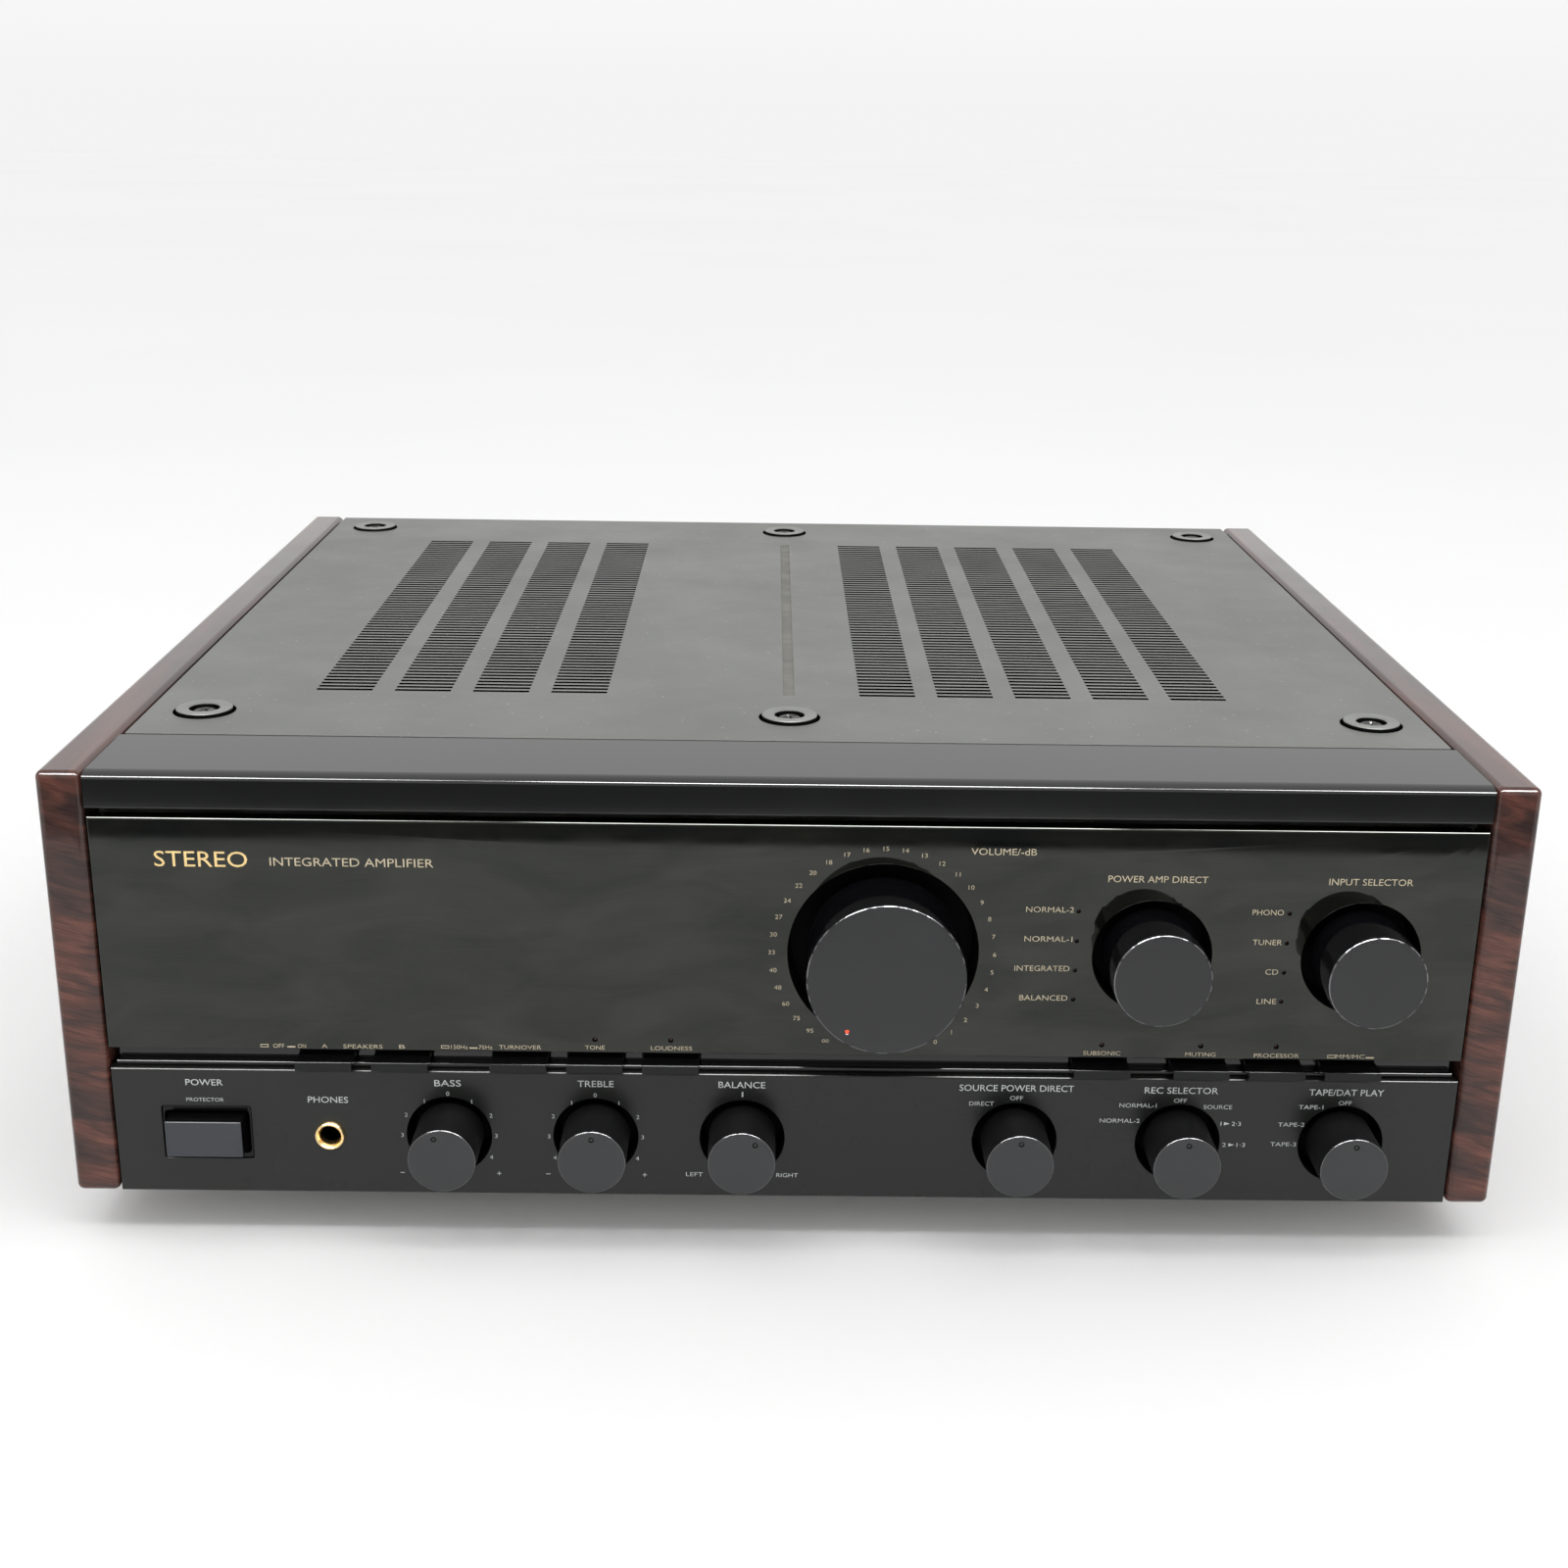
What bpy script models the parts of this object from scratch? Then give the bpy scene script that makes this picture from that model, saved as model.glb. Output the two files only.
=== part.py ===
"""Integrated hi-fi amplifier, built as the separate pieces it comes apart into.

Metres, +Z up, +X to the right of someone facing the front, front towards -Y.
The origin is at the bottom centre of the whole object: under the feet, midway between
the volume knob's face and the ends of the speaker terminals.

Everything is parented to one empty, front_datum, which stands on the front plane of the
wooden side panels, at their bottom edge and on the centre line. Places below are counted
from that datum: x to the right, y to the back, z up.
"""
import math

import bmesh
import bpy
from mathutils import Vector

MM = 0.001

# ---- driving dimensions ----
WIDTH = 466.0 * MM                 # over the wooden side panels
PANEL_HEIGHT = 145.2 * MM          # height of the wooden side panels
PANEL_DEPTH = 411.0 * MM           # front to back, side panels
FOOT_CLEARANCE = 16.5 * MM         # side panels' bottom edge above the floor
VOLUME_PROUD = 21.0 * MM           # volume knob's face in front of the side panels
TERMINAL_PROUD = 17.0 * MM         # terminal caps' ends behind the side panels
WOOD_THICKNESS = 14.2 * MM
GAP = 0.3 * MM                     # between pieces that touch on the real object
SHEET = 1.2 * MM                   # steel sheet

OVERALL_DEPTH = VOLUME_PROUD + PANEL_DEPTH + TERMINAL_PROUD
FRONT_Y = VOLUME_PROUD - OVERALL_DEPTH / 2

# ---- front panel levels, from the datum ----
FRONT_HALF_WIDTH = WIDTH / 2 - WOOD_THICKNESS - 0.5 * MM
FASCIA_Y = 0.5 * MM
FASCIA_THICKNESS = 4.5 * MM
LOWER_FASCIA_TOP = 44.7 * MM
FASCIA_BOTTOM = 51.8 * MM
FASCIA_TOP = 130.6 * MM
TRIM_BOTTOM = 133.5 * MM
COVER_TOP = 145.0 * MM
COVER_FRONT = 41.0 * MM            # seam between the trim and the top cover
TRIM_FLANGE = 3.0 * MM             # thickness of the trim where it lies over the side frames
SUBFRAME_Y = 14.0 * MM
BOARD_Y = 36.0 * MM
REAR_Y = 401.0 * MM
UPPER_AXIS_Z = 87.6 * MM
LOWER_AXIS_Z = 21.6 * MM

# name: x, z, radius, how far proud of the front plane, radius of its hole in the fascia
KNOBS = {
    "volume_knob": (30.0 * MM, UPPER_AXIS_Z, 24.9 * MM, VOLUME_PROUD, 30.2 * MM),
    "mode_knob": (115.5 * MM, UPPER_AXIS_Z, 15.5 * MM, 19.5 * MM, 18.9 * MM),
    "input_knob": (182.0 * MM, UPPER_AXIS_Z, 15.5 * MM, 19.5 * MM, 18.9 * MM),
    "bass_knob": (-109.8 * MM, LOWER_AXIS_Z, 10.9 * MM, 16.8 * MM, 13.8 * MM),
    "treble_knob": (-62.0 * MM, LOWER_AXIS_Z, 10.9 * MM, 16.8 * MM, 13.8 * MM),
    "balance_knob": (-14.2 * MM, LOWER_AXIS_Z, 10.9 * MM, 16.8 * MM, 13.8 * MM),
    "direct_knob": (74.9 * MM, LOWER_AXIS_Z, 10.9 * MM, 16.8 * MM, 13.8 * MM),
    "record_knob": (128.4 * MM, LOWER_AXIS_Z, 10.9 * MM, 16.8 * MM, 13.8 * MM),
    "tape_knob": (181.9 * MM, LOWER_AXIS_Z, 10.9 * MM, 16.8 * MM, 13.8 * MM),
}
KNOB_SKIRT_END = 3.5 * MM          # the knob's body ends this far behind the front plane
SHAFT_RADIUS = 3.0 * MM
SHAFT_END = 23.5 * MM

# name: x of its centre
PUSH_BUTTONS = {
    "speakers_a_button": -148.6 * MM,
    "speakers_b_button": -124.2 * MM,
    "turnover_button": -86.2 * MM,
    "tone_button": -61.8 * MM,
    "loudness_button": -37.4 * MM,
    "subsonic_button": 101.4 * MM,
    "muting_button": 133.4 * MM,
    "processor_button": 157.8 * MM,
    "cartridge_button": 182.2 * MM,
}
RAIL_INSET = 1.7 * MM              # the rail stops this far short of the fascias' ends
BUTTON_WIDTH = 18.2 * MM
BUTTON_BOTTOM = 46.7 * MM
BUTTON_TOP = 49.8 * MM
BUTTON_PROUD = 4.4 * MM
BUTTON_END = 9.5 * MM

POWER_X = -188.4 * MM
POWER_Z = 22.0 * MM
POWER_WINDOW = (29.2 * MM, 19.1 * MM)
POWER_FACE = (24.7 * MM, 12.6 * MM)
POWER_PROUD = 5.0 * MM
POWER_END = 9.0 * MM

JACK_X = -148.6 * MM
JACK_Z = 21.4 * MM
JACK_BORE = 3.175 * MM
JACK_BARREL = 4.1 * MM
JACK_RING = 5.0 * MM

# ---- top cover ----
SCREW_X = 198.4 * MM
SCREW_ROWS = (69.5 * MM, 385.0 * MM)
VENT_FRONT = 95.8 * MM
VENT_BACK = 355.2 * MM
VENT_WIDTH = 19.7 * MM
VENT_LEFT_FIRST = -166.3 * MM
VENT_RIGHT_FIRST = 24.9 * MM
VENT_LEFT_COLUMNS = 4
VENT_RIGHT_COLUMNS = 5
VENT_COLUMN_PITCH = 27.5 * MM
VENT_FIELD_DEPTH = 0.5 * MM
GROOVE_WIDTH = 3.6 * MM

# ---- rear ----
TERMINAL_X = (110.0 * MM, 134.0 * MM, 158.0 * MM, 182.0 * MM)
TERMINAL_ROWS = (32.0 * MM, 62.0 * MM)
TERMINAL_CAP_RADIUS = 7.5 * MM
TERMINAL_CAP_LENGTH = 15.5 * MM
TERMINAL_BLOCK = (94.0 * MM, 14.0 * MM, 198.0 * MM, 80.0 * MM)
JACK_BLOCK = (-190.0 * MM, 24.0 * MM, 42.0 * MM, 92.0 * MM)
JACK_BLOCK_DEPTH = 14.0 * MM
PHONO_COLUMNS = 7
PHONO_ROWS = 2
PHONO_FIRST = (-174.0 * MM, 42.0 * MM)
PHONO_PITCH = (20.0 * MM, 32.0 * MM)
PHONO_RADIUS = 4.2 * MM
PHONO_LENGTH = 8.0 * MM
BALANCED_X = (-18.0 * MM, 18.0 * MM)
BALANCED_Z = 58.0 * MM
BALANCED_BORE = 8.0 * MM
BALANCED_DEPTH = 11.0 * MM
GLAND_X = -150.0 * MM
GLAND_Z = 116.0 * MM
GLAND_BORE = 3.6 * MM

FOOT_X = 165.0 * MM
FOOT_ROWS = (64.0 * MM, 356.0 * MM)
FOOT_RADIUS = 28.0 * MM


# ---------------------------------------------------------------- modelling tools
def circle(x, y, radius, sides):
    """Points round a circle in the XY plane."""
    turn = 2 * math.pi / sides
    return [(x + radius * math.cos(turn * i), y + radius * math.sin(turn * i)) for i in range(sides)]


def rectangle(left, bottom, right, top):
    return [(left, bottom), (right, bottom), (right, top), (left, top)]


def arc(x, y, radius_x, radius_y, start, end, steps):
    """Points along an elliptical arc, from start to end in degrees."""
    angles = [math.radians(start + (end - start) * i / steps) for i in range(steps + 1)]
    return [(x + radius_x * math.cos(a), y + radius_y * math.sin(a)) for a in angles]


def slab(outline, holes, low, high):
    """A flat solid over an outline in XY, with holes, from z = low to z = high."""
    bm = bmesh.new()
    edges = []
    for loop in [outline] + holes:
        verts = [bm.verts.new((x, y, low)) for x, y in loop]
        edges += [bm.edges.new(pair) for pair in zip(verts, verts[1:] + verts[:1])]
    filled = bmesh.ops.triangle_fill(bm, use_beauty=True, edges=edges, normal=(0, 0, 1))
    faces = [item for item in filled["geom"] if isinstance(item, bmesh.types.BMFace)]
    grown = bmesh.ops.extrude_face_region(bm, geom=faces)
    moved = [item for item in grown["geom"] if isinstance(item, bmesh.types.BMVert)]
    bmesh.ops.translate(bm, verts=moved, vec=(0, 0, high - low))
    bmesh.ops.recalc_face_normals(bm, faces=bm.faces)
    return bm


def turned(profile, sides):
    """A solid of revolution about Z. The profile is a list of (radius, z) points.

    A profile that starts and ends on the axis closes on itself; any other is joined
    from its last point back to its first, which leaves a bore.
    """
    bm = bmesh.new()
    rings = []
    for radius, z in profile:
        if radius == 0:
            rings.append([bm.verts.new((0, 0, z))] * sides)
        else:
            rings.append([bm.verts.new((x, y, z)) for x, y in circle(0, 0, radius, sides)])
    pairs = list(zip(rings, rings[1:]))
    if profile[0][0] > 0:
        pairs.append((rings[-1], rings[0]))
    for ring, following in pairs:
        for i in range(sides):
            j = (i + 1) % sides
            corners = []
            for vert in (ring[i], ring[j], following[j], following[i]):
                if vert not in corners:
                    corners.append(vert)
            if len(corners) > 2:
                bm.faces.new(corners)
    bmesh.ops.recalc_face_normals(bm, faces=bm.faces)
    return bm


def block(low, high, round_over=0.0, segments=2):
    """A box between two corners, its edges rounded over."""
    low, high = Vector(low), Vector(high)
    bm = bmesh.new()
    bmesh.ops.create_cube(bm, size=1.0)
    bmesh.ops.scale(bm, vec=high - low, verts=bm.verts)
    bmesh.ops.translate(bm, vec=(low + high) / 2, verts=bm.verts)
    if round_over > 0:
        bmesh.ops.bevel(bm, geom=bm.edges[:], offset=round_over, segments=segments,
                        profile=0.5, affect="EDGES")
    return bm


def join(shapes):
    """One mesh of several closed shapes, for a cutter or a union."""
    whole = bmesh.new()
    for shape in shapes:
        piece = bpy.data.meshes.new("piece")
        shape.to_mesh(piece)
        shape.free()
        whole.from_mesh(piece)
        bpy.data.meshes.remove(piece)
    return whole


FACING_FRONT = (math.pi / 2, 0, 0)             # local Z points out of the front
FACING_BACK = (math.pi / 2, 0, math.pi)        # local Z points out of the back
ALONG_X = (math.pi / 2, 0, math.pi / 2)        # local XY becomes the YZ plane


def add(name, bm, material, location=(0, 0, 0), rotation=(0, 0, 0)):
    """Turn a bmesh into a named object under the datum."""
    mesh = bpy.data.meshes.new(name)
    bm.to_mesh(mesh)
    bm.free()
    if material is not None:
        mesh.materials.append(material)
    obj = bpy.data.objects.new(name, mesh)
    bpy.context.collection.objects.link(obj)
    obj.parent = bpy.data.objects["front_datum"]
    obj.location = location
    obj.rotation_euler = rotation
    mesh.shade_smooth()
    mesh.set_sharp_from_angle(angle=math.radians(35))
    return obj


def tool(obj, bm, operation, location=(0, 0, 0), rotation=(0, 0, 0)):
    """Cut an object with a shape, or join the shape to it; the tool itself stays hidden."""
    helper = add(obj.name + "_" + operation.lower(), bm, None, location, rotation)
    helper.hide_render = True
    helper.display_type = "WIRE"
    modifier = obj.modifiers.new(operation.title(), "BOOLEAN")
    modifier.operation = operation
    modifier.solver = "EXACT"
    modifier.object = helper


def paint(name, colour, roughness, metallic=0.0):
    material = bpy.data.materials.new(name)
    material.use_nodes = True
    shader = material.node_tree.nodes["Principled BSDF"]
    shader.inputs["Base Color"].default_value = (*colour, 1.0)
    shader.inputs["Roughness"].default_value = roughness
    shader.inputs["Metallic"].default_value = metallic
    return material


# ---------------------------------------------------------------- casing
def make_side_panels():
    """Two lacquered wooden boards, rounded over on every edge."""
    wood = paint("rosewood", (0.16, 0.045, 0.03), 0.15)
    for name, side in (("side_panel_left", -1), ("side_panel_right", 1)):
        inner = side * (WIDTH / 2 - WOOD_THICKNESS)
        outer = side * WIDTH / 2
        low = (min(inner, outer), 0, 0)
        high = (max(inner, outer), PANEL_DEPTH, PANEL_HEIGHT)
        add(name, block(low, high, round_over=2.0 * MM), wood)


def make_side_frames():
    """Steel side plates of the chassis, just inside the wood."""
    steel = paint("chassis_steel", (0.45, 0.46, 0.45), 0.4, 1.0)
    outer = WIDTH / 2 - WOOD_THICKNESS - GAP
    for name, side in (("side_frame_left", -1), ("side_frame_right", 1)):
        xs = sorted((side * outer, side * (outer - SHEET)))
        low = (xs[0], SUBFRAME_Y + SHEET + GAP, 4.0 * MM)
        high = (xs[1], REAR_Y - GAP, COVER_TOP - TRIM_FLANGE - GAP)
        add(name, block(low, high), steel)


def make_base_plate():
    """Steel floor of the chassis, with two groups of ventilation slots."""
    steel = paint("base_steel", (0.4, 0.4, 0.39), 0.45, 1.0)
    slots = []
    for group_x in (-115.0 * MM, 90.0 * MM):
        for row in range(6):
            y = (150.0 + 24.0 * row) * MM
            slots.append(rectangle(group_x - 40.0 * MM, y, group_x + 40.0 * MM, y + 4.0 * MM))
    half = WIDTH / 2 - WOOD_THICKNESS - GAP
    add("base_plate", slab(rectangle(-half, 6.0 * MM, half, REAR_Y - GAP), slots,
                           2.0 * MM, 2.0 * MM + SHEET), steel)


def make_rear_panel():
    """Steel back with windows for the socket block, the terminals and the mains gland."""
    steel = paint("rear_paint", (0.02, 0.02, 0.02), 0.5)
    half = WIDTH / 2 - WOOD_THICKNESS - GAP
    left, bottom, right, top = JACK_BLOCK
    sockets = rectangle(left - GAP, bottom - GAP, right + GAP, top + GAP)
    gland = circle(GLAND_X, GLAND_Z, 7.0 * MM, 16)
    outline = rectangle(-half, 2.0 * MM, half, COVER_TOP - SHEET - GAP)
    add("rear_panel", slab(outline, [sockets, gland], -REAR_Y - SHEET, -REAR_Y),
        steel, rotation=FACING_FRONT)


def make_top_cover():
    """Flat steel cover: nine ventilation fields, a stamped centre groove, six screw holes."""
    cover_paint = paint("cover_paint", (0.12, 0.125, 0.12), 0.45)
    half = WIDTH / 2 - WOOD_THICKNESS - 1.5 * MM
    outline = rectangle(-half, COVER_FRONT + GAP, half, PANEL_DEPTH - 3.0 * MM)
    holes = [circle(x, y, 3.0 * MM, 12) for x in (-SCREW_X, 0, SCREW_X) for y in SCREW_ROWS]
    cover = add("top_cover", slab(outline, holes, COVER_TOP - SHEET, COVER_TOP), cover_paint)
    starts = [VENT_LEFT_FIRST + VENT_COLUMN_PITCH * i for i in range(VENT_LEFT_COLUMNS)]
    starts += [VENT_RIGHT_FIRST + VENT_COLUMN_PITCH * i for i in range(VENT_RIGHT_COLUMNS)]
    fields = [(x, x + VENT_WIDTH) for x in starts]
    fields.append((-GROOVE_WIDTH / 2, GROOVE_WIDTH / 2))
    cuts = []
    for left, right in fields:
        cuts.append(block((left, VENT_FRONT, COVER_TOP - VENT_FIELD_DEPTH),
                          (right, VENT_BACK, COVER_TOP + 1.0 * MM)))
    tool(cover, join(cuts), "DIFFERENCE")


def make_cover_screws():
    """Screws with a broad collar, three across and two rows deep, holding the top cover."""
    black = paint("screw_black", (0.1, 0.1, 0.1), 0.4)
    profile = [(0, -0.4 * MM), (2.5 * MM, -0.4 * MM), (4.6 * MM, 0), (9.4 * MM, 0),
               (9.4 * MM, -0.8 * MM), (2.0 * MM, -0.8 * MM), (2.0 * MM, -12.0 * MM), (0, -12.0 * MM)]
    profile = [(r, z + 0.8 * MM + GAP) for r, z in profile]
    rows = (("front", SCREW_ROWS[0]), ("rear", SCREW_ROWS[1]))
    for row, y in rows:
        for side, x in (("left", -SCREW_X), ("centre", 0), ("right", SCREW_X)):
            add(f"cover_screw_{row}_{side}", turned(profile, 16), black, (x, y, COVER_TOP))


def make_front_trim():
    """Extruded aluminium bar over the fascia, its upper front edge rolled over."""
    black = paint("trim_black", (0.02, 0.021, 0.02), 0.3)
    rolled = arc(5.0 * MM, COVER_TOP - 2.2 * MM, 5.0 * MM, 2.2 * MM, 90, 180, 5)
    under = COVER_TOP - TRIM_FLANGE
    profile = [(COVER_FRONT - GAP, under), (COVER_FRONT - GAP, COVER_TOP)]
    profile += rolled
    profile += [(0, TRIM_BOTTOM), (9.0 * MM, TRIM_BOTTOM), (9.0 * MM, under)]
    add("front_trim", slab(profile, [], -FRONT_HALF_WIDTH, FRONT_HALF_WIDTH), black, rotation=ALONG_X)


def make_main_fascia():
    """Gloss panel with the holes that the three large knobs sink into."""
    gloss = paint("fascia_gloss", (0.03, 0.03, 0.027), 0.06)
    outline = rectangle(-FRONT_HALF_WIDTH, FASCIA_BOTTOM, FRONT_HALF_WIDTH, FASCIA_TOP)
    holes = [circle(x, z, hole, 32) for x, z, _, _, hole in KNOBS.values() if z == UPPER_AXIS_Z]
    add("main_fascia", slab(outline, holes, -FASCIA_Y - FASCIA_THICKNESS, -FASCIA_Y),
        gloss, rotation=FACING_FRONT)


def make_lower_fascia():
    """Satin panel with six knob holes, the power button's window and the phones hole."""
    satin = paint("fascia_satin", (0.03, 0.03, 0.03), 0.35)
    outline = rectangle(-FRONT_HALF_WIDTH, GAP, FRONT_HALF_WIDTH, LOWER_FASCIA_TOP)
    holes = [circle(x, z, hole, 24) for x, z, _, _, hole in KNOBS.values() if z == LOWER_AXIS_Z]
    half_x, half_z = POWER_WINDOW[0] / 2, POWER_WINDOW[1] / 2
    holes.append(rectangle(POWER_X - half_x, POWER_Z - half_z, POWER_X + half_x, POWER_Z + half_z))
    holes.append(circle(JACK_X, JACK_Z, JACK_BARREL + GAP, 16))
    add("lower_fascia", slab(outline, holes, -FASCIA_Y - FASCIA_THICKNESS, -FASCIA_Y),
        satin, rotation=FACING_FRONT)


def make_button_rail():
    """Rail at the back of the channel between the fascias: a slotted wall on a low ledge."""
    gloss = paint("rail_gloss", (0.015, 0.015, 0.015), 0.1)
    half = FRONT_HALF_WIDTH - RAIL_INSET
    back, front, wall_front = 8.0 * MM, 3.0 * MM, 6.0 * MM
    ledge_bottom = LOWER_FASCIA_TOP + GAP
    ledge_top = BUTTON_BOTTOM - GAP
    wall_top = FASCIA_BOTTOM - GAP
    profile = [(front, ledge_bottom), (back, ledge_bottom), (back, wall_top), (wall_front, wall_top),
               (wall_front, ledge_top), (front, ledge_top)]
    rail = add("button_rail", slab(profile, [], -half, half), gloss, rotation=ALONG_X)
    cuts = []
    for x in PUSH_BUTTONS.values():
        reach = BUTTON_WIDTH / 2 + GAP
        cuts.append(block((x - reach, front + 2.0 * MM, ledge_top),
                          (x + reach, back + 1.0 * MM, BUTTON_TOP + GAP)))
    tool(rail, join(cuts), "DIFFERENCE")


def make_front_subframe():
    """Steel plate behind the fascias that carries the controls, drilled for their shafts."""
    steel = paint("subframe_steel", (0.4, 0.41, 0.4), 0.45, 1.0)
    half = WIDTH / 2 - WOOD_THICKNESS - GAP
    outline = rectangle(-half, 4.0 * MM, half, FASCIA_TOP)
    holes = [circle(x, z, SHAFT_RADIUS + 1.0 * MM, 12) for x, z, _, _, _ in KNOBS.values()]
    add("front_subframe", slab(outline, holes, -SUBFRAME_Y - SHEET, -SUBFRAME_Y),
        steel, rotation=FACING_FRONT)


def make_feet():
    """Four round feet with a broad sole and a waist."""
    rubber = paint("foot_black", (0.03, 0.03, 0.03), 0.6)
    top = 2.0 * MM - GAP
    low = -FOOT_CLEARANCE
    profile = [(0, top), (FOOT_RADIUS - 3.0 * MM, top), (FOOT_RADIUS, top - 3.0 * MM),
               (FOOT_RADIUS - 1.5 * MM, low + 1.5 * MM), (FOOT_RADIUS - 3.0 * MM, low), (0, low)]
    for row, y in (("front", FOOT_ROWS[0]), ("rear", FOOT_ROWS[1])):
        for side, x in (("left", -FOOT_X), ("right", FOOT_X)):
            add(f"foot_{row}_{side}", turned(profile, 24), rubber, (x, y, 0))


# ---------------------------------------------------------------- controls
def make_knobs():
    """Cylindrical knobs with a chamfered face, each on its own shaft."""
    dark = paint("knob_black", (0.05, 0.05, 0.053), 0.35)
    for name, (x, z, radius, proud, _) in KNOBS.items():
        chamfer = 1.2 * MM if z == UPPER_AXIS_Z else 0.8 * MM
        profile = [(0, proud), (radius - chamfer, proud), (radius, proud - chamfer),
                   (radius, -KNOB_SKIRT_END), (SHAFT_RADIUS, -KNOB_SKIRT_END),
                   (SHAFT_RADIUS, -SHAFT_END), (0, -SHAFT_END)]
        sides = 32 if z == UPPER_AXIS_Z else 24
        add(name, turned(profile, sides), dark, (x, 0, z), FACING_FRONT)


def make_push_buttons():
    """Nine flat push keys that come out of the channel between the fascias."""
    gloss = paint("button_gloss", (0.06, 0.06, 0.06), 0.2)
    height = BUTTON_TOP - BUTTON_BOTTOM
    for name, x in PUSH_BUTTONS.items():
        key = block((-BUTTON_WIDTH / 2, -BUTTON_PROUD, -height / 2),
                    (BUTTON_WIDTH / 2, BUTTON_END, height / 2), round_over=0.3 * MM, segments=1)
        add(name, key, gloss, (x, 0, (BUTTON_TOP + BUTTON_BOTTOM) / 2))


def make_power_button():
    """Large rectangular mains key in its own window."""
    grey = paint("power_button_grey", (0.1, 0.105, 0.12), 0.4)
    width, height = POWER_FACE
    key = block((-width / 2, -POWER_PROUD, -height / 2), (width / 2, POWER_END, height / 2),
                round_over=0.5 * MM, segments=1)
    add("power_button", key, grey, (POWER_X, 0, POWER_Z))


def make_phones_jack():
    """Gold-ringed 6.35 mm socket."""
    gold = paint("jack_gold", (0.8, 0.55, 0.25), 0.2, 1.0)
    profile = [(0, -13.0 * MM), (JACK_BARREL, -13.0 * MM), (JACK_BARREL, 0), (JACK_RING, 0),
               (JACK_RING, 0.8 * MM), (JACK_BORE, 1.2 * MM), (JACK_BORE, -12.0 * MM), (0, -12.0 * MM)]
    add("phones_jack", turned(profile, 16), gold, (JACK_X, 0, JACK_Z), FACING_FRONT)


# ---------------------------------------------------------------- inside
def make_power_transformer():
    can = paint("transformer_black", (0.03, 0.03, 0.035), 0.5)
    add("power_transformer", block((-56.0 * MM, 62.0 * MM, 4.0 * MM), (16.0 * MM, 186.0 * MM, 112.0 * MM),
                                   round_over=6.0 * MM, segments=2), can)


def comb(width, height, base, fins, fin_width):
    """Outline of a heat sink: a base with fins standing on it, in XY."""
    pitch = (width - fin_width) / (fins - 1)
    points = [(0, 0), (width, 0)]
    for i in reversed(range(fins)):
        left = pitch * i
        right = left + fin_width
        points += [(right, base), (right, height)] if i < fins - 1 else [(right, height)]
        points += [(left, height), (left, base)] if i > 0 else [(left, height)]
    return points


def make_heat_sinks():
    """Finned aluminium sinks under the two groups of ventilation slots."""
    aluminium = paint("sink_aluminium", (0.05, 0.05, 0.05), 0.5, 1.0)
    spans = (("heat_sink_left", -166.0 * MM, -66.0 * MM, 10.0 * MM),
             ("heat_sink_right", 40.0 * MM, 154.0 * MM, 18.0 * MM))
    for name, left, right, bottom in spans:
        outline = comb(right - left, 118.0 * MM - bottom, 6.0 * MM, 8, 2.0 * MM)
        add(name, slab(outline, [], -345.0 * MM, -105.0 * MM), aluminium,
            (left, 0, bottom), FACING_FRONT)


def make_capacitors():
    """Two reservoir capacitors standing on the main board behind the transformer."""
    sleeve = paint("capacitor_sleeve", (0.02, 0.03, 0.06), 0.4)
    profile = [(0, 60.0 * MM), (15.5 * MM, 60.0 * MM), (17.0 * MM, 58.5 * MM), (17.0 * MM, 0), (0, 0)]
    for name, x in (("capacitor_left", -38.0 * MM), ("capacitor_right", 0)):
        add(name, turned(profile, 20), sleeve, (x, 232.0 * MM, 14.0 * MM))


def make_main_board():
    """Printed board over the chassis floor."""
    resin = paint("board_green", (0.03, 0.12, 0.05), 0.5)
    outline = rectangle(-58.0 * MM, 205.0 * MM, 206.0 * MM, 380.0 * MM)
    add("main_board", slab(outline, [], 12.0 * MM, 13.6 * MM), resin)


def make_control_board():
    """Upright printed board that carries the controls turned by the knobs' shafts."""
    resin = paint("control_board_green", (0.03, 0.12, 0.05), 0.5)
    low = (-130.0 * MM, BOARD_Y, 8.0 * MM)
    high = (200.0 * MM, BOARD_Y + 1.6 * MM, 104.0 * MM)
    board = add("control_board", block(low, high), resin)
    controls = []
    for x, z, _, _, _ in KNOBS.values():
        half = 9.0 * MM
        controls.append(block((x - half, SHAFT_END + 0.6 * MM, z - half),
                              (x + half, BOARD_Y + 0.8 * MM, z + half)))
    tool(board, join(controls), "UNION")


# ---------------------------------------------------------------- rear
def make_terminal_block():
    """Plate on the rear panel with a threaded post for each speaker terminal."""
    black = paint("terminal_block_black", (0.02, 0.02, 0.02), 0.4)
    left, bottom, right, top = TERMINAL_BLOCK
    front = REAR_Y + SHEET + GAP
    plate = add("speaker_terminal_block", block((left, front, bottom), (right, front + 4.0 * MM, top)), black)
    cap_front = PANEL_DEPTH + TERMINAL_PROUD - TERMINAL_CAP_LENGTH
    collar_end = cap_front - GAP - front
    post_end = cap_front + 9.0 * MM - front
    post = [(0, 2.0 * MM), (5.0 * MM, 2.0 * MM), (5.0 * MM, collar_end), (2.0 * MM, collar_end),
            (2.0 * MM, post_end), (0, post_end)]
    posts = []
    for x in TERMINAL_X:
        for z in TERMINAL_ROWS:
            shape = turned(post, 10)
            bmesh.ops.translate(shape, vec=(-x, z, 0), verts=shape.verts)
            posts.append(shape)
    tool(plate, join(posts), "UNION", (0, front, 0), FACING_BACK)


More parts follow.
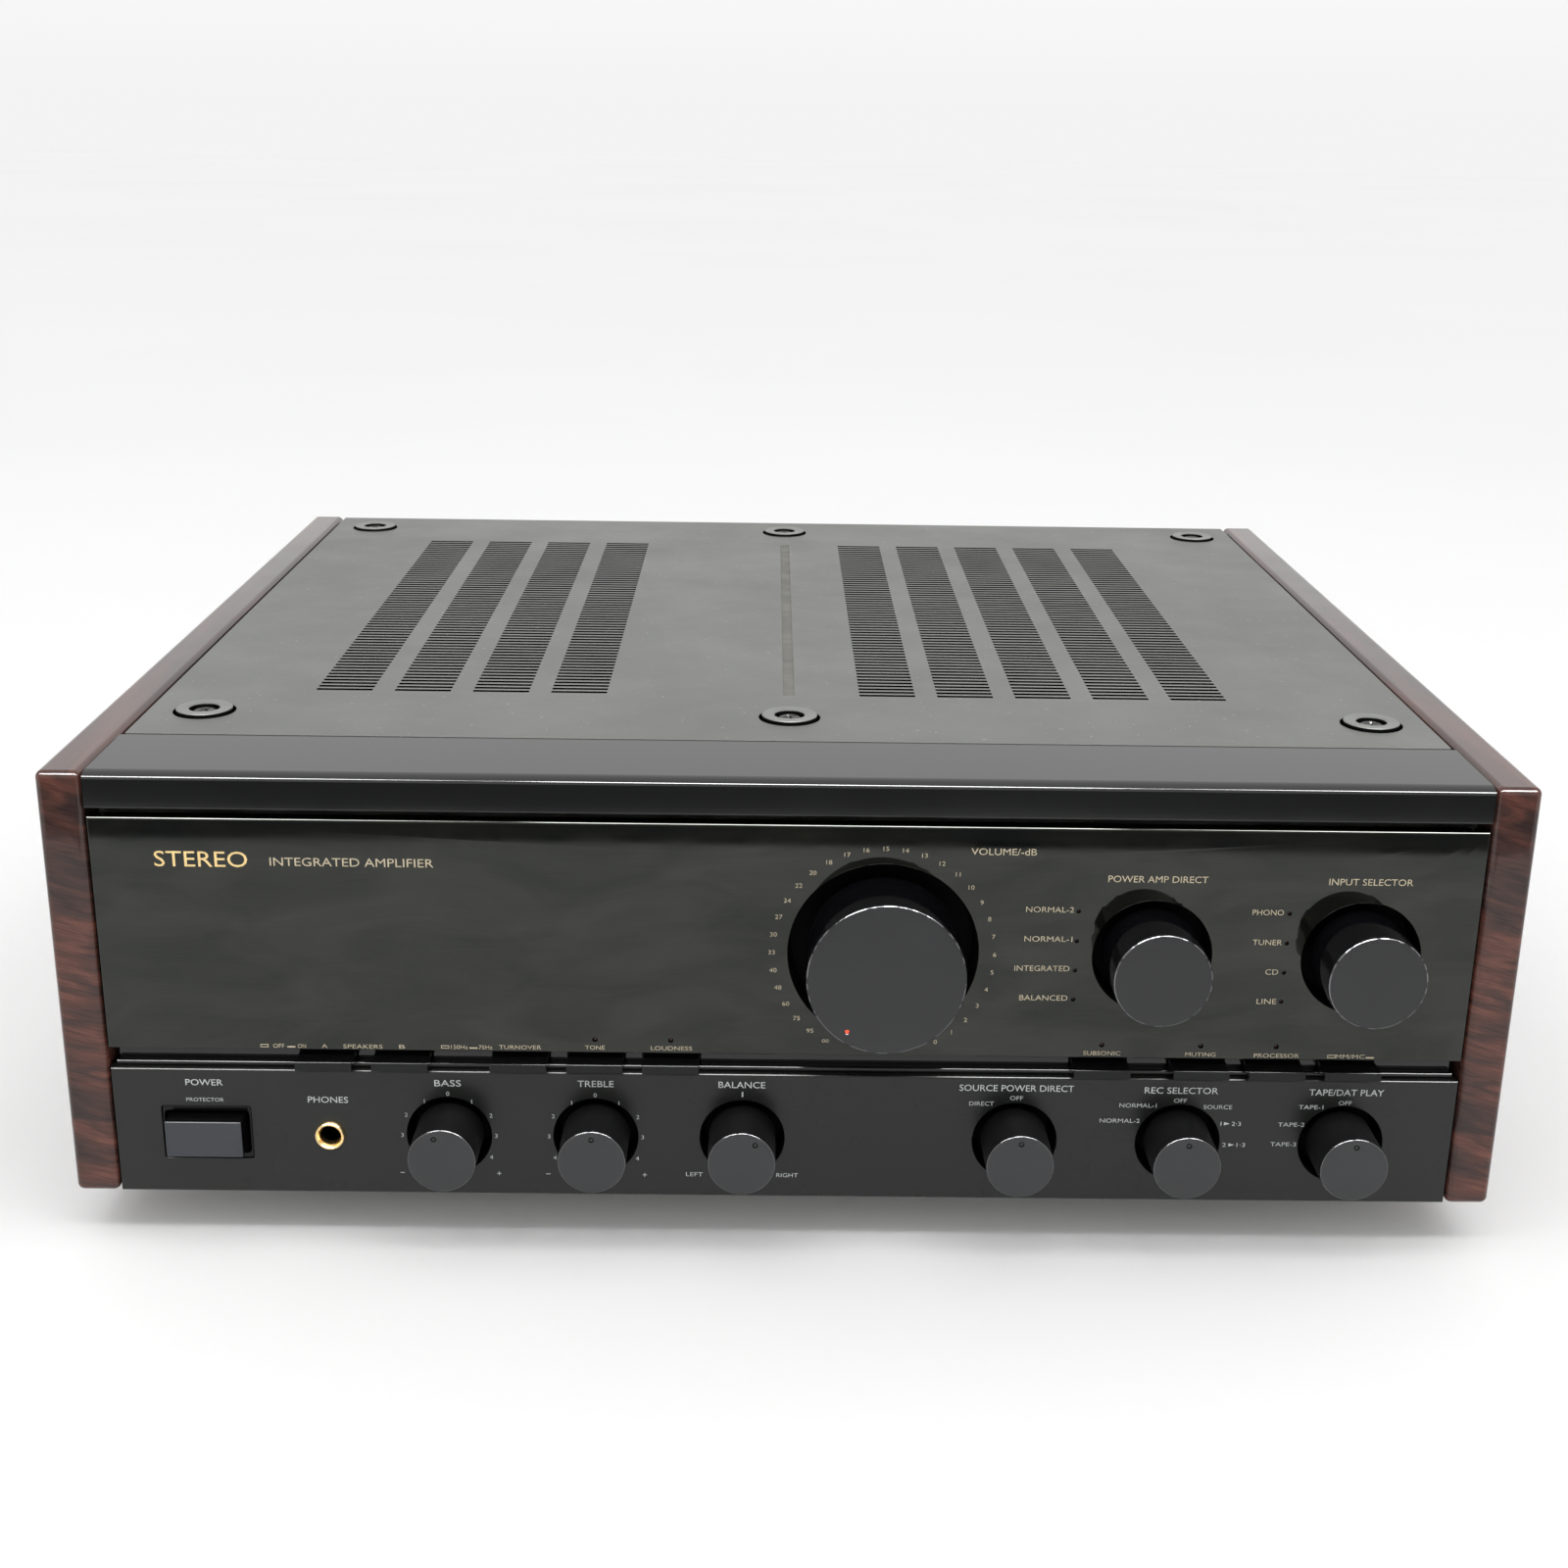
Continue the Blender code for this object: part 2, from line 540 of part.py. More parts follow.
def make_terminal_caps():
    """Eight screw caps, red above black, each turning on its post."""
    red = paint("cap_red", (0.45, 0.02, 0.02), 0.3)
    black = paint("cap_black", (0.02, 0.02, 0.02), 0.3)
    length = TERMINAL_CAP_LENGTH
    bore = 2.4 * MM
    bore_depth = 10.0 * MM
    chamfer = 1.0 * MM
    profile = [(0, bore_depth), (bore, bore_depth), (bore, 0),
               (TERMINAL_CAP_RADIUS - chamfer, 0), (TERMINAL_CAP_RADIUS, chamfer),
               (TERMINAL_CAP_RADIUS, length - chamfer), (TERMINAL_CAP_RADIUS - chamfer, length), (0, length)]
    cap_front = PANEL_DEPTH + TERMINAL_PROUD - length
    for i, x in enumerate(TERMINAL_X):
        for row, z in zip(("lower", "upper"), TERMINAL_ROWS):
            add(f"terminal_cap_{row}_{i + 1}", turned(profile, 12), red if row == "upper" else black,
                (x, cap_front, z), FACING_BACK)


def make_line_jack_panel():
    """Moulded block with two rows of phono sockets and two balanced sockets."""
    black = paint("jack_block_black", (0.03, 0.03, 0.03), 0.45)
    left, bottom, right, top = JACK_BLOCK
    back = REAR_Y + SHEET + 2.5 * MM
    panel = add("line_jack_panel", block((left, back - JACK_BLOCK_DEPTH, bottom), (right, back, top)), black)
    sockets = []
    for column in range(PHONO_COLUMNS):
        for row in range(PHONO_ROWS):
            x = PHONO_FIRST[0] + PHONO_PITCH[0] * column
            z = PHONO_FIRST[1] + PHONO_PITCH[1] * row
            sockets.append(slab(circle(-x, z, PHONO_RADIUS, 8), [], -2.0 * MM, PHONO_LENGTH))
    tool(panel, join(sockets), "UNION", (0, back, 0), FACING_BACK)
    bores = [slab(circle(-x, BALANCED_Z, BALANCED_BORE, 16), [], -BALANCED_DEPTH, 2.0 * MM) for x in BALANCED_X]
    tool(panel, join(bores), "DIFFERENCE", (0, back, 0), FACING_BACK)


def make_mains_gland():
    """Bush in the rear panel that the mains lead would come through."""
    black = paint("gland_black", (0.02, 0.02, 0.02), 0.6)
    front = -4.0 * MM
    profile = [(GLAND_BORE, front), (6.5 * MM, front), (6.5 * MM, SHEET + GAP), (10.0 * MM, SHEET + GAP),
               (8.5 * MM, 6.0 * MM), (GLAND_BORE, 6.0 * MM)]
    add("mains_gland", turned(profile, 16), black, (GLAND_X, REAR_Y, GLAND_Z), FACING_BACK)


def build():
    for obj in list(bpy.data.objects):
        bpy.data.objects.remove(obj, do_unlink=True)
    datum = bpy.data.objects.new("front_datum", None)
    datum.location = (0, FRONT_Y, FOOT_CLEARANCE)
    bpy.context.collection.objects.link(datum)
    make_side_panels()
    make_side_frames()
    make_base_plate()
    make_rear_panel()
    make_top_cover()
    make_cover_screws()
    make_front_trim()
    make_main_fascia()
    make_lower_fascia()
    make_button_rail()
    make_front_subframe()
    make_feet()
    make_knobs()
    make_push_buttons()
    make_power_button()
    make_phones_jack()
    make_power_transformer()
    make_heat_sinks()
    make_capacitors()
    make_main_board()
    make_control_board()
    make_terminal_block()
    make_terminal_caps()
    make_line_jack_panel()
    make_mains_gland()


build()
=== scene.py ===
"""The looks of an integrated hi-fi amplifier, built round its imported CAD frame.

+Z up, front towards -Y. Pieces are built in millimetres and counted from the datum, as in the
CAD part: x to the right, y to the back from the wooden panels' front plane, z up from their
bottom edge. piece() turns them into metres. The stage is in metres.
"""

import math

import bmesh
import bpy
from mathutils import Euler, Matrix, Vector


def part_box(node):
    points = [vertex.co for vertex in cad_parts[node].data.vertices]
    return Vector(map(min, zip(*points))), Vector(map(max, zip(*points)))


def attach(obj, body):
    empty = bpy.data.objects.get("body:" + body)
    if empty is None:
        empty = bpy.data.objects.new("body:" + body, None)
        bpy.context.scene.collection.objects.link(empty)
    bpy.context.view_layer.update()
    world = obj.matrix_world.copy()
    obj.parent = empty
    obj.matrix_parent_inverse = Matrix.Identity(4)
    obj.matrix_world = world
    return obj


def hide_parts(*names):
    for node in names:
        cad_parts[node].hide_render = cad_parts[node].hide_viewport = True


MM = 0.001

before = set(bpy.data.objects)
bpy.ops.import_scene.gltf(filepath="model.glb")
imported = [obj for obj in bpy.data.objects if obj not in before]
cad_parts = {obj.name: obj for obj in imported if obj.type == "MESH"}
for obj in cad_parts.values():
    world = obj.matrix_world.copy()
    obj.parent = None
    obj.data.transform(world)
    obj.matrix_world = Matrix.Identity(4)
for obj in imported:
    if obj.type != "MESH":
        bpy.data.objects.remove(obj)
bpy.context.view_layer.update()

DATUM = Vector((0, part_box("side_panel_left")[0].y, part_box("side_panel_left")[0].z))


def place_of(node):
    """Lowest and highest corner of a CAD node, from the datum."""
    low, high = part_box(node)
    return (low - DATUM) / MM, (high - DATUM) / MM


def axis_of(node):
    """(x, z) of the middle of a node, counted from the datum."""
    low, high = place_of(node)
    return (low.x + high.x) / 2, (low.z + high.z) / 2


# ---- levels and edges taken from the frame ----
FASCIA_LOW, FASCIA_HIGH = place_of("main_fascia")
LOWER_LOW, LOWER_HIGH = place_of("lower_fascia")
TRIM_LOW, TRIM_HIGH = place_of("front_trim")
COVER_LOW, COVER_HIGH = place_of("top_cover")
REAR_LOW, REAR_HIGH = place_of("rear_panel")
RAIL_LOW, RAIL_HIGH = place_of("button_rail")
SOCKETS_LOW, SOCKETS_HIGH = place_of("line_jack_panel")
TERMINALS_LOW, TERMINALS_HIGH = place_of("speaker_terminal_block")
CAP_LOW, CAP_HIGH = place_of("terminal_cap_lower_1")
CAP_LENGTH = CAP_HIGH.y - CAP_LOW.y
FACE = -FASCIA_LOW.y  # level of the fascias' face, counted out from the datum plane
HALF = FASCIA_HIGH.x  # half the width between the wooden panels
REAR_FACE = REAR_HIGH.y
GAP = 0.3

# ---- the front ----
UPPER_KNOBS = ("volume_knob", "mode_knob", "input_knob")
LOWER_KNOBS = ("bass_knob", "treble_knob", "balance_knob", "direct_knob", "record_knob", "tape_knob")
KEYS = ("speakers_a", "speakers_b", "turnover", "tone", "loudness", "subsonic", "muting",
        "processor", "cartridge")
RECESS = {"volume_knob": 30.2, "mode_knob": 18.9, "input_knob": 18.9}
LOWER_RECESS = 13.8
KNOB_SHAFT = 3.0
VOLUME_AT_REST = -150.0  # degrees clockwise from the top
VOLUME_LAMP = (-146.0, 21.0)  # degrees clockwise from the top, radius
INDEX_RADIUS = 8.0
INDEX_ANGLE = {"bass_knob": -16.0, "balance_knob": 33.0}
KEY_LAMPS = ("tone", "loudness", "subsonic", "muting", "processor")
LAMP_ROW_Z = 56.5
SELECTOR_LAMP_LEVELS = (102.7, 92.6, 82.5, 72.4)
SELECTOR_LAMP_X = (91.25, 157.9)
POWER_WINDOW = (29.2, 19.1)
FASCIA_EDGE = 0.9  # radius of the fascias' rolled edges
JACK_RING = 5.0
JACK_BORE = 3.175
JACK_DEPTH = 12.0

# ---- the top ----
COVER_SETBACK = 0.8  # shadow line between the cover and the trim
VENT_SLOTS = 63
VENT_PITCH = 4.13
VENT_FIRST = 97.4
VENT_SLOT = (19.7, 2.5)
VENT_COLUMNS = [27.5 * i - 166.3 for i in range(4)] + [27.5 * i + 24.9 for i in range(5)]
COVER_GROOVE = (-1.8, 96.3, 1.8, 354.7)
SCREW_PLACES = {(row, side): (x, y) for row, y in (("front", 69.5), ("rear", 385.0))
                for side, x in (("left", -198.4), ("centre", 0.0), ("right", 198.4))}

# ---- the back ----
SOCKET_FACE = REAR_FACE + 2.5
TERMINAL_FACE = TERMINALS_LOW.y + 4
PHONO_X = [20 * i - 174 for i in range(7)]
PHONO_NAMES = ("PHONO", "CD", "TUNER", "LINE", "TAPE-1", "TAPE-2", "TAPE-3")
PHONO_Z = {"right": 42, "left": 74}
BALANCED_X = (-18, 18)
BALANCED_Z = 58
BALANCED_BORE = 8.0
BALANCED_DEPTH = 11

# ---- lettering ----
CAP_HEIGHT = 0.729  # cap height of the built-in font at size 1
LETTER_STRETCH = 1.15
PRINT_THICKNESS = 0.04
PRINT_LEVELS = [(0, PRINT_THICKNESS / 2), (0, -PRINT_THICKNESS / 2)]
THIN = -0.006  # change of the letters' outline for small print
TITLE_FROM = 2.2  # height from which letters keep their weight

FACING_FRONT = (math.pi / 2, 0, 0)
FACING_BACK = (math.pi / 2, 0, math.pi)
ALONG_X = (math.pi / 2, 0, math.pi / 2)
FLAT = (0, 0, 0)


# ---- outlines ----
def circle(x, y, radius, sides=64):
    """Points round a circle in the XY plane."""
    turn = 2 * math.pi / sides
    return [(x + radius * math.cos(turn * i), y + radius * math.sin(turn * i)) for i in range(sides)]


def arc(x, y, radius_x, radius_y, start, end, steps):
    """Points along an ellipse between two angles in degrees."""
    angles = [math.radians(start + (end - start) * i / steps) for i in range(steps + 1)]
    return [(x + radius_x * math.cos(a), y + radius_y * math.sin(a)) for a in angles]


def rectangle(left, bottom, right, top, radius=0.0, steps=3):
    """A rectangle with rounded corners."""
    corners = ((right - radius, top - radius, 0), (left + radius, top - radius, 90),
               (left + radius, bottom + radius, 180), (right - radius, bottom + radius, 270))
    return [point for x, y, start in corners
            for point in arc(x, y, radius, radius, start, start + 90, steps)]


def ring(points, z):
    """A flat outline at a level."""
    return [(x, y, z) for x, y in points]


def stepped(edge, level, *steps):
    """Points from steps: out from an edge and down from a level."""
    return [(edge + out, level - down) for out, down in steps]


def sunk(face, end, *steps):
    """(grow, z) levels of a wall: steps down from a face, then straight to its end."""
    return stepped(0, face, *steps) + [(0, end)]


def rounding(radius, level, end, steps=3):
    """(grow, z) levels of a wall whose edge rolls over inwards by a radius, then straight to its end."""
    angles = [math.pi / 2 * i / steps for i in range(steps + 1)]
    rolled = [(-radius * (1 - math.sin(a)), level - radius * (1 - math.cos(a))) for a in angles]
    return rolled + [(0, end)]


def round_wall(x, y, radius, sides, levels):
    """Rings round a centre, grown by the first of each (grow, z) of levels."""
    return [ring(circle(x, y, radius + grow, sides), z) for grow, z in levels]


def square_wall(left, bottom, right, top, levels, radius=0.3, steps=3):
    """Rectangular rings with rounded corners, grown by the first of each (grow, z) of levels."""
    return [ring(rectangle(left - grow, bottom - grow, right + grow, top + grow,
                           max(radius + grow, 0.02), steps), z) for grow, z in levels]


# ---- solids ----
def loft(bm, rings, materials=()):
    """Quads between rings of equal length. Returns the first and last ring's vertices."""
    made = [[bm.verts.new(point) for point in points] for points in rings]
    for k, (upper, lower) in enumerate(zip(made, made[1:])):
        for i in range(len(upper)):
            j = (i + 1) % len(upper)
            face = bm.faces.new((upper[i], upper[j], lower[j], lower[i]))
            face.smooth = True
            if k < len(materials):
                face.material_index = materials[k]
    return made[0], made[-1]


def fill(bm, loops, material=0):
    """Flat faces between closed loops of vertices."""
    edges = []
    for loop in loops:
        for pair in zip(loop, loop[1:] + loop[:1]):
            edge = bm.edges.get(pair)
            edges.append(edge if edge else bm.edges.new(pair))
    made = bmesh.ops.triangle_fill(bm, use_beauty=True, edges=edges)
    for item in made["geom"]:
        if isinstance(item, bmesh.types.BMFace):
            item.material_index = material
            item.smooth = False


def plate(outline, holes=(), pits=(), bands=(), hole_bands=(), face_material=0, pit_material=0,
          pit_floor=None):
    """A closed solid. Outline, holes and pits are walls: rings that go down from the face.

    The outline and the holes end on the back; a pit is closed by a floor at its last ring.
    bands and hole_bands are the materials of the strips of the outline and of each hole.
    """
    bm = bmesh.new()
    top, bottom = [], []
    for rings in [outline, *holes]:
        first, last = loft(bm, rings, bands if rings is outline else hole_bands)
        top.append(first)
        bottom.append(last)
    for rings in pits:
        first, last = loft(bm, rings, [pit_material] * len(rings))
        top.append(first)
        fill(bm, [last], pit_material if pit_floor is None else pit_floor)
    fill(bm, top, face_material)
    fill(bm, bottom)
    bmesh.ops.recalc_face_normals(bm, faces=bm.faces)
    return bm


def bar(profile, half):
    """A solid of one section that runs half a width to either side."""
    return plate([ring(profile, half), ring(profile, -half)])


def turned(profile, sides=64, bands=()):
    """A solid of revolution about Z from (radius, z) points; off the axis it closes into a bore."""
    bm = bmesh.new()
    rings = []
    for radius, z in profile:
        if radius == 0:
            rings.append([bm.verts.new((0, 0, z))] * sides)
        else:
            rings.append([bm.verts.new((x, y, z)) for x, y in circle(0, 0, radius, sides)])
    steps = list(zip(profile, profile[1:], rings, rings[1:]))
    if profile[0][0] > 0:
        steps.append((profile[-1], profile[0], rings[-1], rings[0]))
    for k, (start, end, points, following) in enumerate(steps):
        for i in range(sides):
            j = (i + 1) % sides
            corners = list(dict.fromkeys((points[i], points[j], following[j], following[i])))
            if len(corners) > 2:
                face = bm.faces.new(corners)
                face.smooth = start[1] != end[1]
                face.material_index = bands[k] if k < len(bands) else 0
    bmesh.ops.recalc_face_normals(bm, faces=bm.faces)
    return bm


def block(low, high, radius, segments=3):
    """A box between two corners with its edges rolled over."""
    low, high = Vector(low), Vector(high)
    bm = bmesh.new()
    bmesh.ops.create_cube(bm, size=1.0)
    bmesh.ops.scale(bm, vec=high - low, verts=bm.verts)
    bmesh.ops.translate(bm, vec=(low + high) / 2, verts=bm.verts)
    bevelled = bmesh.ops.bevel(bm, geom=bm.edges[:], offset=radius, segments=segments,
                               profile=0.5, affect="EDGES")
    for face in bevelled["faces"]:
        face.smooth = True
    return bm


def joined(shapes):
    """One mesh of several."""
    whole = bmesh.new()
    for shape in shapes:
        mesh = mesh_of("part_of_a_piece", shape)
        whole.from_mesh(mesh)
        bpy.data.meshes.remove(mesh)
    return whole


def moved(bm, offset, rotation=None):
    """The same mesh, turned about the origin and then shifted."""
    if rotation is not None:
        bmesh.ops.rotate(bm, verts=bm.verts, matrix=rotation)
    bmesh.ops.translate(bm, verts=bm.verts, vec=offset)
    return bm


def mesh_of(name, bm):
    """A named mesh; the working mesh is freed."""
    mesh = bpy.data.meshes.new(name)
    bm.to_mesh(mesh)
    bm.free()
    return mesh


def put(name, data):
    """A new object in the scene."""
    obj = bpy.data.objects.new(name, data)
    bpy.context.scene.collection.objects.link(obj)
    return obj


def piece(name, bm, paints, at=(0, 0, 0), rotation=FLAT, body="chassis", stands_for=None):
    """A finished piece: named, painted, in place, riding on its body. paints are keys of MATERIALS."""
    bmesh.ops.scale(bm, vec=(MM, MM, MM), verts=bm.verts)
    mesh = mesh_of(name, bm)
    for paint in paints.split():
        mesh.materials.append(MATERIALS[paint])
    mesh.set_sharp_from_angle(angle=math.radians(40))
    obj = put(name, mesh)
    weighted = obj.modifiers.new("weighted_normals", "WEIGHTED_NORMAL")
    weighted.keep_sharp = True
    obj.location = DATUM + Vector(at) * MM
    obj.rotation_euler = rotation
    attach(obj, body)
    if stands_for:
        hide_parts(stands_for)
    return obj


# ---- material tools ----
class Paint:
    """A Principled material with a few node-building shortcuts."""

    def __init__(self, name, roughness, metallic=0.0, **sockets):
        self.material = bpy.data.materials.new(name)
        self.material.use_nodes = True
        self.tree = self.material.node_tree
        self.shader = self.tree.nodes["Principled BSDF"]
        self.set(Roughness=roughness, Metallic=metallic, **sockets)
        self.place = self.node("TexCoord").outputs["Object"]

    def feed(self, socket, value):
        """Link a socket to another one, or set its own value."""
        if isinstance(value, bpy.types.NodeSocket):
            self.tree.links.new(value, socket)
        else:
            socket.default_value = value

    def fill_in(self, node, **inputs):
        for name, value in inputs.items():
            self.feed(node.inputs[name.replace("_", " ")], value)

    def set(self, **sockets):
        self.fill_in(self.shader, **sockets)

    def node(self, kind, **inputs):
        made = self.tree.nodes.new(f"ShaderNode{kind}")
        self.fill_in(made, **inputs)
        return made

    def noise(self, size, detail=3.0, roughness=0.5, distortion=0.0, rotation=FLAT, offset=FLAT):
        """Noise with features of about a size; three sizes stretch it along its own, turned axes."""
        vector, scale = self.place, 1.0
        if isinstance(size, tuple):
            mapping = self.node("Mapping", Vector=vector, Location=Vector(offset) * MM, Rotation=rotation,
                                Scale=Vector(size) * MM)
            mapping.vector_type = "TEXTURE"
            vector = mapping.outputs["Vector"]
        else:
            scale = 1.0 / (size * MM)
        return self.node("TexNoise", Vector=vector, Scale=scale, Detail=detail, Roughness=roughness,
                         Distortion=distortion).outputs["Fac"]

    def ramp(self, source, stops):
        """Map a value through (position, grey or colour) stops."""
        made = self.node("ValToRGB", Fac=source)
        set_stops(made.color_ramp.elements, stops)
        return made.outputs["Color"]

    def spread(self, source, low, high):
        """Map noise, which is mostly between 0.3 and 0.7, onto a range."""
        return self.node("MapRange", Value=source, From_Min=0.3, From_Max=0.7, To_Min=low,
                         To_Max=high).outputs["Result"]

    def mix(self, factor, first, second, blend="MIX"):
        """Blend two colours or sockets."""
        made = self.node("Mix")
        made.data_type = "RGBA"
        made.blend_type = blend
        for name, value in (("Factor", factor), ("A", first), ("B", second)):
            socket = next(i for i in made.inputs if i.name == name and i.enabled)
            self.feed(socket, (*value, 1.0) if isinstance(value, tuple) else value)
        return next(o for o in made.outputs if o.enabled)

    def weighed(self, *parts):
        """The sum of two noises, each with its share."""
        total = self.node("Math")
        for socket, (source, share) in zip(total.inputs, parts):
            scaled = self.node("Math")
            scaled.operation = "MULTIPLY"
            self.feed(scaled.inputs[0], source)
            self.feed(scaled.inputs[1], share)
            self.feed(socket, scaled.outputs[0])
        return total.outputs[0]

    def bump(self, height, depth, strength=1.0):
        made = self.node("Bump", Strength=strength, Distance=depth * MM, Height=height)
        self.set(Normal=made.outputs["Normal"])


def set_stops(elements, stops):
    """Give a colour ramp its (position, grey or colour) stops."""
    while len(elements) < len(stops):
        elements.new(0.5)
    for element, (position, value) in zip(elements, stops):
        element.position = position
        element.color = (*as_colour(value), 1.0)


def as_colour(value):
    """A colour as it is, or a grey from a single number."""
    return value if isinstance(value, tuple) else (value, value, value)


def shade(colour, factor):
    return tuple(min(1.0, c * factor) for c in as_colour(colour))


def finish(name, colour, roughness, metallic=0.0, mottle=0.15, mottle_size=14, smear=0.03,
           grain=0.0, grain_size=0.25, **sockets):
    """A painted, moulded or plated surface: slight mottling, uneven gloss and fine grain."""
    paint = Paint(name, roughness, metallic, **sockets)
    cloud = paint.spread(paint.noise(mottle_size, 4.0), 0.0, 1.0)
    paint.set(Base_Color=paint.mix(cloud, shade(colour, 1 - mottle), shade(colour, 1 + mottle)))
    smudge = paint.noise(mottle_size * 1.7, 5.0, 0.6)
    paint.set(Roughness=paint.spread(smudge, max(0.02, roughness - smear), roughness + smear))
    if grain:
        paint.bump(paint.noise(grain_size, 2.0), grain)
    return paint.material


# ---- materials ----
def rosewood():
    """Gloss lacquer over red-brown rosewood: dark streaks that run along the board and slope down."""
    paint = Paint("rosewood_lacquer", 0.2, Coat_Weight=0.6, Coat_Roughness=0.05, Specular_IOR_Level=0.1)
    tilt = (0, math.radians(15), 0)
    offset = (0, 0, 24)
    wander = paint.noise((30, 260, 7), 4.0, 0.55, 1.2, tilt, offset)
    clouds = paint.noise((70, 500, 28), 2.0, 0.5, 0.8, tilt, offset)
    pores = paint.noise((14, 120, 0.9), 3.0, 0.6, rotation=tilt)
    tone = paint.ramp(paint.weighed((wander, 0.5), (clouds, 0.5)),
                      [(0.4, (0.034, 0.019, 0.017)), (0.47, (0.056, 0.027, 0.022)),
                       (0.53, (0.093, 0.036, 0.027)), (0.6, (0.14, 0.053, 0.038))])
    lines = paint.ramp(pores, [(0.35, 0.6), (0.55, 1.0)])
    paint.set(Base_Color=paint.mix(0.8, tone, paint.mix(1.0, tone, lines, "MULTIPLY")),
              Roughness=paint.spread(paint.noise(20), 0.15, 0.25))
    paint.bump(pores, 0.01, 0.3)
    return paint.material


def cover_paint():
    """Satin dark grey paint, a little dusty, with a fine orange-peel grain."""
    paint = Paint("cover_satin_grey", 0.45, Specular_IOR_Level=0.4)
    base = (0.14, 0.144, 0.134)
    dust = (0.3, 0.3, 0.28)
    cloud = paint.noise(70, 4.0, 0.55)
    tone = paint.mix(paint.spread(cloud, 0.0, 1.0), shade(base, 0.93), shade(base, 1.08))
    specks = paint.ramp(paint.noise(1.6, 1.0, 0.3), [(0.76, 0.0), (0.8, 1.0)])
    paint.set(Base_Color=paint.mix(specks, tone, dust),
              Roughness=paint.spread(paint.noise(40, 5.0, 0.6), 0.36, 0.5))
    paint.bump(paint.noise(0.35, 2.0), 0.012)
    return paint.material


def fascia_gloss():
    """Smoked gloss black with wiping marks in it."""
    paint = Paint("fascia_smoked_gloss", 0.06, IOR=1.6, Specular_Tint=(0.97, 1.0, 0.93, 1.0),
                  Specular_IOR_Level=0.43)
    wipes = paint.noise((48, 17, 30), 6.0, 0.6, 1.0, (0, 0, 0.06))
    hairs = paint.noise((30, 0.5, 30), 2.0)
    marks = paint.weighed((wipes, 0.8), (hairs, 0.2))
    tone = paint.ramp(marks, [(0.36, (0.0005, 0.0014, 0.0016)), (0.5, (0.002, 0.0023, 0.0014)),
                              (0.64, (0.0045, 0.0042, 0.0022))])
    smears = paint.noise(34, 6.0, 0.65, 0.8)
    paint.set(Base_Color=tone, Specular_IOR_Level=paint.spread(marks, 0.34, 0.52),
              Roughness=paint.spread(smears, 0.035, 0.075))
    return paint.material


def knob_bevel():
    """Bare cut metal on a knob's rim, its colour painted dark in patches so that its highlight breaks up: a
    painted break-up of the highlight.
    """
    paint = Paint("knob_polished_bevel", 0.12, 1.0)
    # Dark patches painted into the metal's colour break its highlight into dashes.
    highlight_breaks = paint.noise(2.6, 1.0, 0.4)
    paint.set(Base_Color=paint.ramp(highlight_breaks, [(0.43, (0.05, 0.05, 0.053)), (0.5, (0.2, 0.2, 0.21))]),
              Roughness=paint.spread(paint.noise(14), 0.1, 0.15))
    return paint.material


